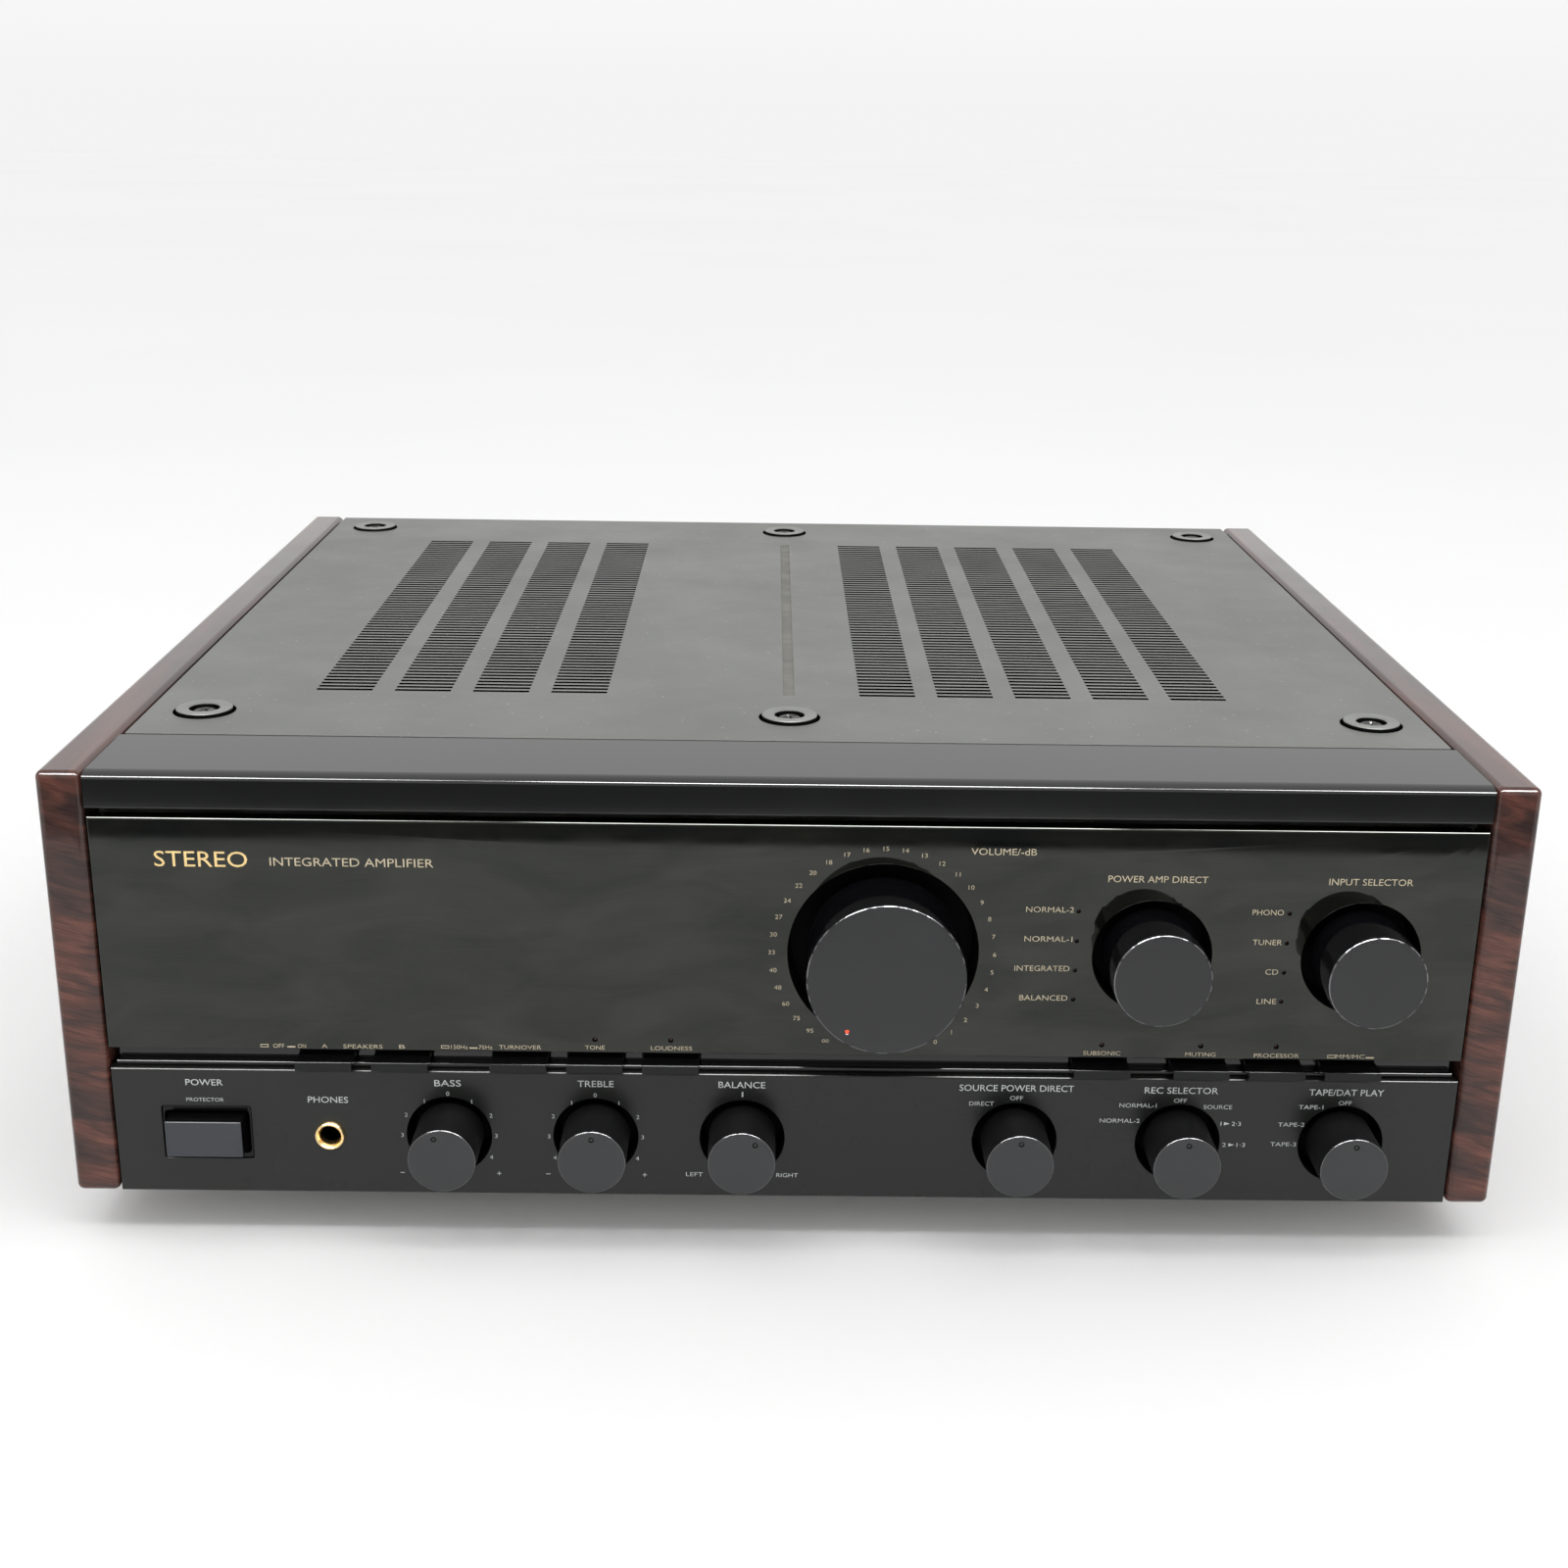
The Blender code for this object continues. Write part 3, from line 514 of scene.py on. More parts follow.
MATERIALS = {
    "wood": rosewood(),
    "cover": cover_paint(),
    "groove": finish("dusty_groove", (0.12, 0.118, 0.1), 0.7, mottle=0.25, mottle_size=7, grain=0.03),
    "collar": finish("collar_satin_grey", (0.19, 0.195, 0.183), 0.38, grain=0.01),
    "screw": finish("screw_black_zinc", (0.045, 0.043, 0.04), 0.28, 0.8, mottle_size=2),
    "trim": finish("trim_satin_black", (0.003, 0.0033, 0.0033), 0.11, mottle_size=60, grain=0.001,
                   Specular_IOR_Level=0.7),
    "gloss": fascia_gloss(),
    "satin": finish("lower_fascia_satin", (0.0035, 0.0048, 0.0035), 0.28, mottle=0.1, mottle_size=60,
                    grain=0.002, grain_size=0.5, IOR=1.47),
    "rail": finish("rail_gloss_black", 0.008, 0.08),
    # Near-black with almost no gloss: painted shade on the knob recesses' walls and cups, the lamp holes and
    # the collars' sides and holes.
    "well": finish("well_black_painted_shade", 0.0015, 0.5, Specular_IOR_Level=0.06),
    "knob_side": finish("knob_gloss_black", (0.004, 0.004, 0.005), 0.07, mottle_size=6, smear=0.05),
    "knob_face": finish("knob_face_satin", (0.0124, 0.013, 0.014), 0.4, mottle=0.08, grain=0.006),
    "knob_bevel": knob_bevel(),
    "small_bevel": finish("small_knob_bevel", (0.13, 0.13, 0.135), 0.14, 1.0, mottle=0.05),
    "small_side": finish("small_knob_matte", (0.003, 0.003, 0.0035), 0.4, grain=0.006,
                         Specular_IOR_Level=0.25),
    "small_face": finish("small_knob_face", (0.0212, 0.0221, 0.024), 0.42, mottle=0.08, grain=0.006),
    "key": finish("key_gloss_black", 0.004, 0.1),
    "key_face": finish("key_face_grey", (0.002, 0.0025, 0.0025), 0.35, grain=0.004,
                       Specular_IOR_Level=0.3),
    "power": finish("power_key_grey", (0.0275, 0.031, 0.0395), 0.36, mottle=0.06, grain=0.006),
    "bezel": finish("bezel_gloss_black", 0.002, 0.12, Specular_IOR_Level=0.25),
    "gold": finish("gold_plate", (0.88, 0.66, 0.34), 0.22, 1.0, mottle=0.06),
    "nickel": finish("nickel_plate", (0.62, 0.6, 0.56), 0.22, 1.0, mottle=0.06),
    "rubber": finish("foot_rubber", 0.012, 0.6, grain=0.03),
    "steel": finish("zinc_plated_steel", (0.42, 0.42, 0.4), 0.34, 1.0, mottle=0.12, smear=0.08,
                    grain=0.004),
    "rear": finish("rear_satin_black", 0.018, 0.45, grain=0.012),
    "socket": finish("moulded_black", 0.014, 0.4, grain=0.012),
    # Near-black with no gloss: painted shade on the cover's slot walls and screw dishes, and down the phones
    # jack's bore over its own black.
    "dark": finish("deep_black_painted_shade", 0.001, 0.8, Specular_IOR_Level=0.0),
    "red_ring": finish("insulator_red", (0.4, 0.02, 0.015), 0.35),
    "white_ring": finish("insulator_white", (0.6, 0.6, 0.56), 0.35),
    "cap_red": finish("terminal_red", (0.36, 0.012, 0.012), 0.22, mottle=0.08),
    "cap_black": finish("terminal_black", 0.008, 0.22),
    "gland": finish("gland_rubber", 0.012, 0.55, grain=0.02),
    "print_gold": finish("print_gold", (0.85, 0.62, 0.27), 0.4, mottle_size=3),
    "print_beige": finish("print_beige", (0.5, 0.43, 0.3), 0.4, mottle_size=3),
    "print_white": finish("print_silver_white", (0.5, 0.52, 0.52), 0.45, mottle_size=3),
    "lens": finish("lamp_lens_dark", (0.03, 0.004, 0.004), 0.15, mottle_size=1),
    "lamp": finish("lamp_red_lit", (0.5, 0.02, 0.01), 0.25, mottle_size=1,
                   Emission_Color=(1.0, 0.07, 0.03, 1.0), Emission_Strength=2.2),
    "can": finish("transformer_can_black", (0.02, 0.02, 0.022), 0.5, grain=0.02),
    "heat_sink": finish("black_anodised", 0.02, 0.45, 0.5, grain=0.006),
    "sleeve": finish("capacitor_sleeve", (0.015, 0.022, 0.05), 0.35),
    "board": finish("board_resin", (0.02, 0.07, 0.03), 0.4, mottle=0.3, mottle_size=9),
}


# ---- casing ----
def make_side_panels():
    for side in ("left", "right"):
        low, high = place_of(f"side_panel_{side}")
        centre = (low + high) / 2
        piece(f"wood_panel_{side}", block(low - centre, high - centre, 2.4, 6), "wood",
              centre, stands_for=f"side_panel_{side}")


def make_cover():
    """Steel cover with nine columns of real slots, the stamped groove and six dished screw holes."""
    top, bottom = COVER_HIGH.z, COVER_LOW.z
    centre = Vector(((COVER_LOW.x + COVER_HIGH.x) / 2, (COVER_LOW.y + COVER_HIGH.y) / 2, 0))
    outline = square_wall(COVER_LOW.x, COVER_LOW.y + COVER_SETBACK, COVER_HIGH.x, COVER_HIGH.y,
                          rounding(0.12, top, bottom), 0.6)
    width, depth = VENT_SLOT
    slot_levels = sunk(top, bottom, (0.05, 0), (0, 0.05))
    holes = []
    for left in VENT_COLUMNS:
        for i in range(VENT_SLOTS):
            y = VENT_FIRST + VENT_PITCH * i
            holes.append(square_wall(left, y - depth / 2, left + width, y + depth / 2, slot_levels,
                                     0.4, 2))
    dish_levels = sunk(top, bottom, (7.9, 0), (7.5, 0.12), (7.0, 0.6), (0, 0.6))
    holes += [round_wall(x, y, 3.0, 48, dish_levels) for x, y in SCREW_PLACES.values()]
    groove = square_wall(*COVER_GROOVE, stepped(0, top, (0.3, 0), (0, 0.2), (0, 0.45)), 0.4)
    # The slot walls and the screw dishes take the near-black third paint: painted shade in place of the
    # cover's own paint.
    bm = moved(plate(outline, holes, [groove], hole_bands=[0, 2, 2, 2], pit_material=1), -centre)
    piece("slotted_cover", bm, "cover groove dark", centre, stands_for="top_cover")


def cross(arm, width):
    """Outline of a cross recess."""
    points = []
    for turn in range(4):
        direction = Matrix.Rotation(math.pi / 2 * turn, 2)
        points += [direction @ Vector(p) for p in ((width, width), (width, arm), (-width, arm))]
    return [tuple(p) for p in points]


def cross_head(radius, height, arm, sides=32):
    """A rounded screw head with a cross recess, standing on z = 0."""
    flat = arm + 0.25
    dome = [(flat + (radius - flat) * math.sin(a), height * math.cos(a) ** 0.6)
            for a in map(math.radians, (30, 55, 75))]
    outline = [ring(circle(0, 0, r, sides), z) for r, z in [(flat, height), *dome, (radius, 0)]]
    pit = [ring(cross(arm * share, arm * share * 0.2), height - depth)
           for share, depth in ((1.0, 0), (0.75, height * 0.6))]
    return plate(outline, pits=[pit])


def make_cover_screws():
    """A broad flat collar and a cross-head screw inside it, at each of the six places."""
    base = COVER_HIGH.z - 0.5
    height = place_of("cover_screw_front_left")[1].z - base
    profile = [(5.15, 0), (9.3, 0), *stepped(0, height, (9.4, 0.25), (9.15, 0), (5.5, 0.1), (5.15, 0.4))]
    for (row, side), (x, y) in SCREW_PLACES.items():
        node = f"cover_screw_{row}_{side}"
        # The collar's outer side and its hole take the near-black well paint: painted shade round the collar
        # and down to the screw.
        piece(f"collar_{row}_{side}", turned(profile, 72, [1, 1, 0, 0, 0, 1]), "collar well",
              (x, y, base), stands_for=node)
        turn = Matrix.Rotation(math.radians(17 + 0.31 * x), 3, "Z")
        head = moved(cross_head(4.0, 1.0, 2.2), (0, 0, 0), turn)
        piece(f"cross_screw_{row}_{side}", head, "screw", (x, y, base - 0.3),
              stands_for=node)


def rolled_edge(y, z, arcs, steps=5):
    """Points of an edge that rolls forward and down from level, through arcs of (radius, degrees)."""
    points, angle = [(y, z)], 90.0
    for radius, turn in arcs:
        for i in range(steps):
            upper, lower = math.radians(angle), math.radians(angle - turn / steps)
            y -= radius * (math.cos(lower) - math.cos(upper))
            z -= radius * (math.sin(upper) - math.sin(lower))
            points.append((y, z))
            angle -= turn / steps
    return points


def make_trim():
    """Bar over the fascia whose upper front edge rolls over, gently and then tightly."""
    back, top, bottom = TRIM_HIGH.y, TRIM_HIGH.z, TRIM_LOW.z
    profile = stepped(back, top, (0, 3.0), (0, 0.15), (-0.15, 0))
    profile += rolled_edge(4.85, top, ((9.0, 28), (0.9, 34), (2.0, 28)))
    profile += stepped(0, bottom, (0, -0.5), (0.15, -0.15), (0.5, 0), (9.0, 0))
    profile += stepped(0, top, (9.0, 3.0))
    piece("rolled_trim", bar(profile, HALF), "trim", rotation=ALONG_X,
          stands_for="front_trim")


def fascia_outline(low, high):
    """A fascia's outer wall; its top edge rolls over twice as far as the other three."""
    return [ring(rectangle(low.x - grow / 2, low.z - grow / 2, high.x + grow / 2, high.z + grow,
                           0.2), z) for grow, z in rounding(FASCIA_EDGE, FACE, -high.y, 6)]


def make_main_fascia():
    """Gloss panel with the three large knob openings and a drilled hole for each lamp."""
    back = -FASCIA_HIGH.y
    knob_levels = sunk(FACE, back, (0.35, 0), (0.1, 0.12), (0, 0.4))
    lamp_levels = sunk(FACE, back, (0.08, 0), (0, 0.1), (0, 0.3))
    holes = [round_wall(*axis_of(knob), RECESS[knob], 96, knob_levels) for knob in UPPER_KNOBS]
    holes += [round_wall(*place, 24, lamp_levels) for place in lamp_places()]
    # The inner wall of each knob and lamp hole takes the near-black well paint: painted shade inside the
    # recesses.
    bm = plate(fascia_outline(FASCIA_LOW, FASCIA_HIGH), holes, hole_bands=[0, 0, 1])
    piece("gloss_fascia", bm, "gloss well", rotation=FACING_FRONT, stands_for="main_fascia")


def make_lower_fascia():
    """Satin panel with six knob openings, the power key's window and the phones hole."""
    back = -LOWER_HIGH.y
    knob_levels = sunk(FACE, back, (0.3, 0), (0.08, 0.1), (0, 0.3))
    holes = [round_wall(*axis_of(knob), LOWER_RECESS, 72, knob_levels) for knob in LOWER_KNOBS]
    x, z = axis_of("power_button")
    half_x, half_z = POWER_WINDOW[0] / 2, POWER_WINDOW[1] / 2
    holes.append(square_wall(x - half_x, z - half_z, x + half_x, z + half_z,
                             sunk(FACE, back, (0.03, 0), (0, 0.03)), 0.9, 4))
    holes.append(round_wall(*axis_of("phones_jack"), 4.4, 48, [(0, FACE), (0, back)]))
    # The inner wall of each knob opening takes the near-black well paint: painted shade inside the recesses.
    bm = plate(fascia_outline(LOWER_LOW, LOWER_HIGH), holes, hole_bands=[0, 0, 1])
    piece("satin_fascia", bm, "satin well", rotation=FACING_FRONT, stands_for="lower_fascia")


def lamp_places():
    """(x, z, hole radius) of every indicator hole in the gloss fascia."""
    places = [(axis_of(f"{key}_button")[0], LAMP_ROW_Z, 0.8) for key in KEY_LAMPS]
    places += [(x, z, 0.65) for x in SELECTOR_LAMP_X for z in SELECTOR_LAMP_LEVELS]
    return places


def make_lamps():
    """Unlit lenses set a little way down in the drilled holes."""
    lenses = []
    for x, z, radius in lamp_places():
        r = radius - 0.05
        dome = [(0, -1.1), (r * 0.6, -1.2), (r, -1.6), (r, -4.2), (0, -4.2)]
        lenses.append(moved(turned(dome, 20), (x, z, 0)))
    piece("fascia_lamps", joined(lenses), "lens", rotation=FACING_FRONT)


def make_wells():
    """Black cups behind the fascias that the knobs turn in, near-black with almost no gloss: their own black
    with the recesses' shade painted in.
    """
    rim, bottom = -(FASCIA_HIGH.y + GAP), -12.6
    shaft_hole = stepped(0, bottom, (3.6, 0.8), (3.6, 0))
    for knob in UPPER_KNOBS + LOWER_KNOBS:
        x, z = axis_of(knob)
        inner = RECESS.get(knob, LOWER_RECESS) + 0.05
        profile = stepped(inner, rim, (0, 0), (1, 0)) + stepped(inner, bottom, (1, 0.8))
        profile += shaft_hole + stepped(inner, bottom, (-1, 0), (0, -1))
        piece(knob.replace("knob", "well"), turned(profile, 72), "well", (x, 0, z),
              FACING_FRONT)


def make_rail():
    """Slotted wall on a low ledge with a rolled front edge, at the back of the channel."""
    half, low, high = RAIL_HIGH.x, RAIL_LOW, RAIL_HIGH
    key_low, key_high = place_of("tone_button")
    ledge_top = key_low.z - GAP
    wall_front, roll = 6.0, 0.9
    ledge = [(high.y, low.z), (high.y, ledge_top), (low.y + roll, ledge_top)]
    ledge += arc(low.y + roll, ledge_top - roll, roll, roll, 105, 180, 6)
    ledge.append((low.y, low.z))
    parts = [moved(bar(ledge, half), (0, 0, 0), Euler(ALONG_X).to_matrix())]
    edges = [-half]
    for key in KEYS:
        left, right = place_of(f"{key}_button")
        edges += [left.x - GAP, right.x + GAP]
    edges.append(half)
    for left, right in zip(edges[0::2], edges[1::2]):
        parts.append(block((left, wall_front, ledge_top), (right, high.y, high.z), 0.25, 2))
    parts.append(block((-half, wall_front, key_high.z + GAP), (half, high.y, high.z), 0.2, 2))
    piece("channel_rail", joined(parts), "rail", stands_for="button_rail")


# ---- controls ----
def around(angle, radius):
    """A point at a clockwise angle from the top, seen from the front."""
    a = math.radians(angle)
    return radius * math.sin(a), radius * math.cos(a)


def turned_knob(node, rim, bands, paints, pits=()):
    """A knob on its shaft; rim holds steps out and down from the edge of its face."""
    low, high = place_of(node)
    x, z = axis_of(node)
    radius = (high.x - low.x) / 2
    profile = stepped(radius, -low.y, *rim) + stepped(radius, 0, (0, 3.0), (-0.5, 3.5))
    profile += [(KNOB_SHAFT, -3.5), (KNOB_SHAFT, -high.y)]
    bm = plate([ring(circle(0, 0, r, 128), level) for r, level in profile], pits=pits, bands=bands,
               face_material=2, pit_floor=2)
    piece(f"{node}_turned", bm, paints, (x, 0, z), FACING_FRONT, node, node)


def make_large_knobs():
    """Gloss black knobs with a satin face and a fine polished bevel round it."""
    proud = -place_of("volume_knob")[0].y
    x, z = axis_of("volume_knob")
    px, py = around(*VOLUME_LAMP)
    pit = round_wall(px, py, 0.7, 24, stepped(0, proud, (0.1, 0), (0, 0.1), (0, 0.7)))
    bulb = [(0, -0.15), (0.4, -0.22), (0.58, -0.45), (0.6, -0.69), (0, -0.69)]
    piece("volume_lamp", moved(turned(bulb, 24), (px, py, proud)), "lamp", (x, 0, z),
          FACING_FRONT, "volume_knob")
    rim = ((-0.55, 0), (-0.42, 0.04), (-0.2, 0.22), (-0.1, 0.5), (0, 1.2))
    for node in UPPER_KNOBS:
        turned_knob(node, rim, [1, 1, 1], "knob_side knob_bevel knob_face",
                    [pit] if node == "volume_knob" else [])


def make_small_knobs():
    """Matte knobs with a satin face, a fine bright bevel and a dimple that shows their place."""
    for node in LOWER_KNOBS:
        px, py = around(INDEX_ANGLE.get(node, 0.0), INDEX_RADIUS)
        dimple = round_wall(px, py, 0.95, 24, stepped(0, -place_of(node)[0].y, (0, 0), (-0.05, 0.4),
                                                      (-0.35, 0.45), (-0.45, 0.2)))
        turned_knob(node, ((-0.34, 0), (-0.14, 0.13), (0, 0.4)), [1, 1],
                    "small_side small_bevel small_face", [dimple])


def make_key(name, node, paints, radius, segments, is_second):
    """A push key with rolled edges; faces whose normal passes the test take the second paint."""
    low, high = place_of(node)
    x, z = axis_of(node)
    centre = Vector((x, 0, z))
    bm = block(low - centre, high - centre, radius, segments)
    bm.normal_update()
    for face in bm.faces:
        if is_second(face.normal):
            face.material_index = 1
    piece(name, bm, paints, centre, body=node, stands_for=node)


def make_keys():
    """Flat gloss black keys with a satin grey front, and the satin grey power key."""
    for key in KEYS:
        make_key(f"{key}_key", f"{key}_button", "key key_face", 0.28, 3,
                 lambda normal: normal.y < -0.8)
    make_key("power_key", "power_button", "power key", 0.45, 4,
             lambda normal: normal.y > -0.5)


def make_power_bezel():
    """Gloss frame set in the window: a slope that runs in to a fine lip, then a deep well."""
    x, z = axis_of("power_button")
    low, high = place_of("power_button")
    half_x, half_z = POWER_WINDOW[0] / 2 - 0.12, POWER_WINDOW[1] / 2 - 0.12
    face, back = FACE - 0.35, -8.4
    outline = square_wall(-half_x, -half_z, half_x, half_z, rounding(0.4, face, back), 0.8, 4)
    key_x = (high.x - low.x) / 2 + 0.35
    key_z = (high.z - low.z) / 2 + 0.35
    slope_in = half_x - key_x - 0.65
    hole = square_wall(-key_x, -key_z, key_x, key_z,
                       [(slope_in, face), *sunk(face, back, (0.9, 0.5), (0.6, 1.8), (0.5, 4.0), (0, 4.2))],
                       0.5, 4)
    piece("power_bezel", plate(outline, [hole]), "bezel", (x, 0, z), FACING_FRONT)


def make_phones_jack():
    """Gold-plated ring, black throat and the bottom of the bore."""
    x, z = axis_of("phones_jack")
    low, high = place_of("phones_jack")
    crown = FACE + 0.55
    profile = [(0, -high.y), (4.1, -high.y), (4.1, FACE - 0.1)]
    profile += stepped(JACK_RING, FACE, (0, 0.05), (0, -0.25))
    profile += arc(4.3, crown, 0.62, -low.y - crown, 10, 150, 8)
    profile += stepped(JACK_BORE, FACE, (0.12, -0.6), (0, 0), (0, 2.2))
    profile += [(JACK_BORE, -JACK_DEPTH), (0, -JACK_DEPTH)]
    # The bore's wall and bottom take the deep black: painted shade down the bore, over its own black.
    bands = [0] * (len(profile) - 3) + [1, 1]
    piece("phones_ring", turned(profile, 72, bands), "gold dark", (x, 0, z), FACING_FRONT,
          stands_for="phones_jack")


# ---- lettering ----
def glyphs(text, height, width=None, weight=THIN):
    """A line of letters centred on the origin, of a cap height and, if given, a set width."""
    curve = bpy.data.curves.new("lettering", "FONT")
    curve.body = text
    curve.align_x = "CENTER"
    curve.size = 1.0
    curve.extrude = 0.5
    curve.offset = weight
    curve.resolution_u = 3
    obj = put("lettering", curve)
    bpy.context.view_layer.update()
    mesh = bpy.data.meshes.new_from_object(obj.evaluated_get(bpy.context.evaluated_depsgraph_get()))
    bm = bmesh.new()
    bm.from_mesh(mesh)
    bpy.data.objects.remove(obj)
    bpy.data.curves.remove(curve)
    bpy.data.meshes.remove(mesh)
    bmesh.ops.remove_doubles(bm, verts=bm.verts, dist=1e-5)
    xs = [v.co.x for v in bm.verts]
    ys = [v.co.y for v in bm.verts]
    middle = Vector(((min(xs) + max(xs)) / 2, (min(ys) + max(ys)) / 2, 0))
    scale = height / CAP_HEIGHT
    across = width / (max(xs) - min(xs)) if width else scale * LETTER_STRETCH
    bmesh.ops.translate(bm, vec=-middle, verts=bm.verts)
    bmesh.ops.scale(bm, vec=(across, scale, PRINT_THICKNESS), verts=bm.verts)
    return bm


def printed(words):
    """Lines of text from (text, x, z, width, height); only small print is thinned."""
    return [moved(glyphs(text, height, width, 0.0 if height > TITLE_FROM else THIN),
                  (x, z, 0)) for text, x, z, width, height in words]


def fascia_titles():
    """The gold words on the gloss fascia, the plain title first."""
    words = [("STEREO", -183.7, 117.0, 29.0, 5.4), ("INTEGRATED AMPLIFIER", -136.8, 116.4, 51.0, 2.9),
             ("VOLUME/-dB", 66.8, 122.4, 20.5, 2.3), ("POWER AMP DIRECT", 115.6, 113.8, 31.4, 2.3),
             ("INPUT SELECTOR", 182.6, 113.6, 26.5, 2.3),
             ("NORMAL-2", 82.2, 103.2, 15.1, 1.95), ("NORMAL-1", 82.2, 93.2, 15.2, 1.95),
             ("INTEGRATED", 80.7, 83.1, 17.5, 1.95), ("BALANCED", 81.7, 72.9, 15.4, 1.95),
             ("PHONO", 151.1, 103.05, 9.9, 1.95), ("TUNER", 151.7, 92.85, 9.3, 1.95),
             ("CD", 154.0, 82.7, 4.1, 1.95), ("LINE", 153.2, 72.45, 6.3, 1.95)]
    keys = [("OFF", -163.4, 53.2, 3.6), ("ON", -156.0, 53.2, 2.6), ("A", -148.7, 53.25, 1.9),
            ("SPEAKERS", -136.4, 53.25, 12.6), ("B", -123.8, 53.3, 1.9), ("150Hz", -105.4, 53.4, 5.4),
            ("75Hz", -97.0, 53.4, 4.4), ("TURNOVER", -85.9, 53.55, 13.6), ("TONE", -61.8, 53.7, 6.3),
            ("LOUDNESS", -37.2, 53.75, 13.3), ("SUBSONIC", 101.6, 53.6, 12.0), ("MUTING", 133.5, 53.5, 9.8),
            ("PROCESSOR", 158.1, 53.35, 14.6), ("MM/MC", 182.0, 53.3, 9.4)]
    return words + [(*key, 1.5) for key in keys]


def lower_titles():
    """The silver words on the satin fascia."""
    words = [("POWER", -188.4, 39.9, 12.0, 2.3), ("PROTECTOR", -188.5, 33.7, 12.1, 1.4),
             ("PHONES", -148.7, 34.1, 13.0, 2.3), ("BASS", -109.7, 40.45, 8.6, 2.35),
             ("TREBLE", -61.8, 40.75, 11.7, 2.35), ("BALANCE", -14.4, 40.9, 15.2, 2.35),
             ("SOURCE POWER DIRECT", 74.8, 40.75, 37.2, 2.35), ("REC SELECTOR", 128.4, 40.5, 23.9, 2.35),
             ("TAPE/DAT PLAY", 182.2, 40.35, 24.3, 2.35)]
    marks = [("DIRECT", 63.6, 35.1, 8.0), ("OFF", 74.9, 37.2, 4.2), ("NORMAL-1", 114.6, 35.0, 12.1),
             ("NORMAL-2", 109.0, 29.4, 13.1), ("OFF", 128.3, 36.9, 4.2), ("SOURCE", 140.7, 34.7, 9.3),
             ("1", 142.2, 28.7, 0.3), ("2·3", 147.2, 28.7, 3.0), ("2", 143.8, 21.0, 1.2),
             ("1·3", 149.3, 21.0, 2.8), ("OFF", 182.1, 36.6, 4.2), ("TAPE-1", 171.1, 35.0, 8.0),
             ("TAPE-2", 165.2, 28.6, 8.7), ("TAPE-3", 163.2, 21.4, 8.4), ("LEFT", -29.8, 8.2, 5.5),
             ("RIGHT", 0.7, 8.2, 7.1)]
    return words + [(*mark, 1.55) for mark in marks]


def bar_mark(x, z, width, height):
    """A printed bar centred on a point."""
    return plate(square_wall(x - width / 2, z - height / 2, x + width / 2, z + height / 2,
                             PRINT_LEVELS, 0.02, 1))


def arrow_mark(x, z):
    """A printed arrow head that points right."""
    half_x, half_z = 0.95, 0.6
    outline = [(x - half_x, z - half_z), (x + half_x, z), (x - half_x, z + half_z)]
    return plate([ring(outline, level) for _, level in PRINT_LEVELS])


def switch_marks(x, z, apart, drop):
    """The signs for a key that is out, a hollow box, and one that is in, a low bar to its right."""
    width, height, line = 2.6, 1.1, 0.22
    left, right = x - width / 2, x + width / 2
    bottom, top = z - height / 2, z + height / 2
    outer = square_wall(left, bottom, right, top, PRINT_LEVELS, 0.02, 1)
    inner = square_wall(left + line, bottom + line, right - line, top - line, PRINT_LEVELS, 0.02, 1)
    return [plate(outer, [inner]), bar_mark(x + apart, z - drop, width, 0.5)]


def placed_round(node, marks):
    """Marks put round a knob, each given with its clockwise angle and its radius."""
    knob_x, knob_z = axis_of(node)
    placed = []
    for mark, angle, radius in marks:
        dx, dz = around(angle, radius)
        placed.append(moved(mark, (knob_x + dx, knob_z + dz, 0)))
    return placed


def volume_scale():
    """Attenuation in decibels round the volume knob, a number every ten degrees."""
    numbers = [95, 75, 60, 48, 40, 33, 30, 27, 24, 22, 20, 18, *range(17, -1, -1)]
    start, radius = VOLUME_AT_REST, 35.4
    tick = moved(bar_mark(0, 0, 0.3, 1.2), (0, 0, 0), Matrix.Rotation(math.radians(-start), 3, "Z"))
    marks = [(glyphs(str(number), 1.55), start + 10 * (i + 1), radius)
             for i, number in enumerate(numbers)]
    marks += [(glyphs("oo", 1.9, 2.2), start, radius), (tick, start, 31.6)]
    return placed_round("volume_knob", marks)


def tone_scale(node):
    """0 to 4 either side of the top, then the minus and plus signs."""
    marks = []
    for number, (angle, radius) in enumerate(((0, 15.1), (32, 14.5), (62, 15.6), (90, 15.3), (120, 15.6))):
        sides = (1, -1) if number else (1,)
        marks += [(glyphs(str(number), 1.5), side * angle, radius) for side in sides]
    long, short, end, radius = 1.4, 0.25, 131, 21.0
    marks += [(bar_mark(0, 0, long, short), end, radius), (bar_mark(0, 0, short, long), end, radius),
              (bar_mark(0, 0, long, short), -end, radius)]
    return placed_round(node, marks)


def make_prints():
    """Lettering and scales, as a thin layer on the two fascias."""
    at = (0, -FACE, 0)
    title, *words = printed(fascia_titles())
    piece("print_title", title, "print_gold", at, FACING_FRONT)
    gold = words + volume_scale()
    for place in ((-168.0, 53.2, 8.6, 0.3), (-110.0, 53.4, 9.1, 0.3), (175.9, 53.3, 12.5, 0.35)):
        gold += switch_marks(*place)
    piece("print_upper", joined(gold), "print_beige", at, FACING_FRONT)
    balance_x, balance_z = axis_of("balance_knob")
    white = printed(lower_titles()) + tone_scale("bass_knob") + tone_scale("treble_knob")
    white.append(bar_mark(balance_x, balance_z + 15.9, 0.5, 1.8))
    white += [arrow_mark(144.1, 28.7), arrow_mark(146.2, 21.0)]
    piece("print_lower", joined(white), "print_white", at, FACING_FRONT)


# ---- the back ----
def rear_screws():
    """(x, z) of the screws round the edge of the rear panel and of the socket block."""
    places = [(side * x, z) for side in (-1, 1)
              for x, z in ((212, 9), (212, 72), (212, 134), (70, 134), (60, 9))]
    return places + [(x, z) for x in (-198, 50) for z in (32, 84)]


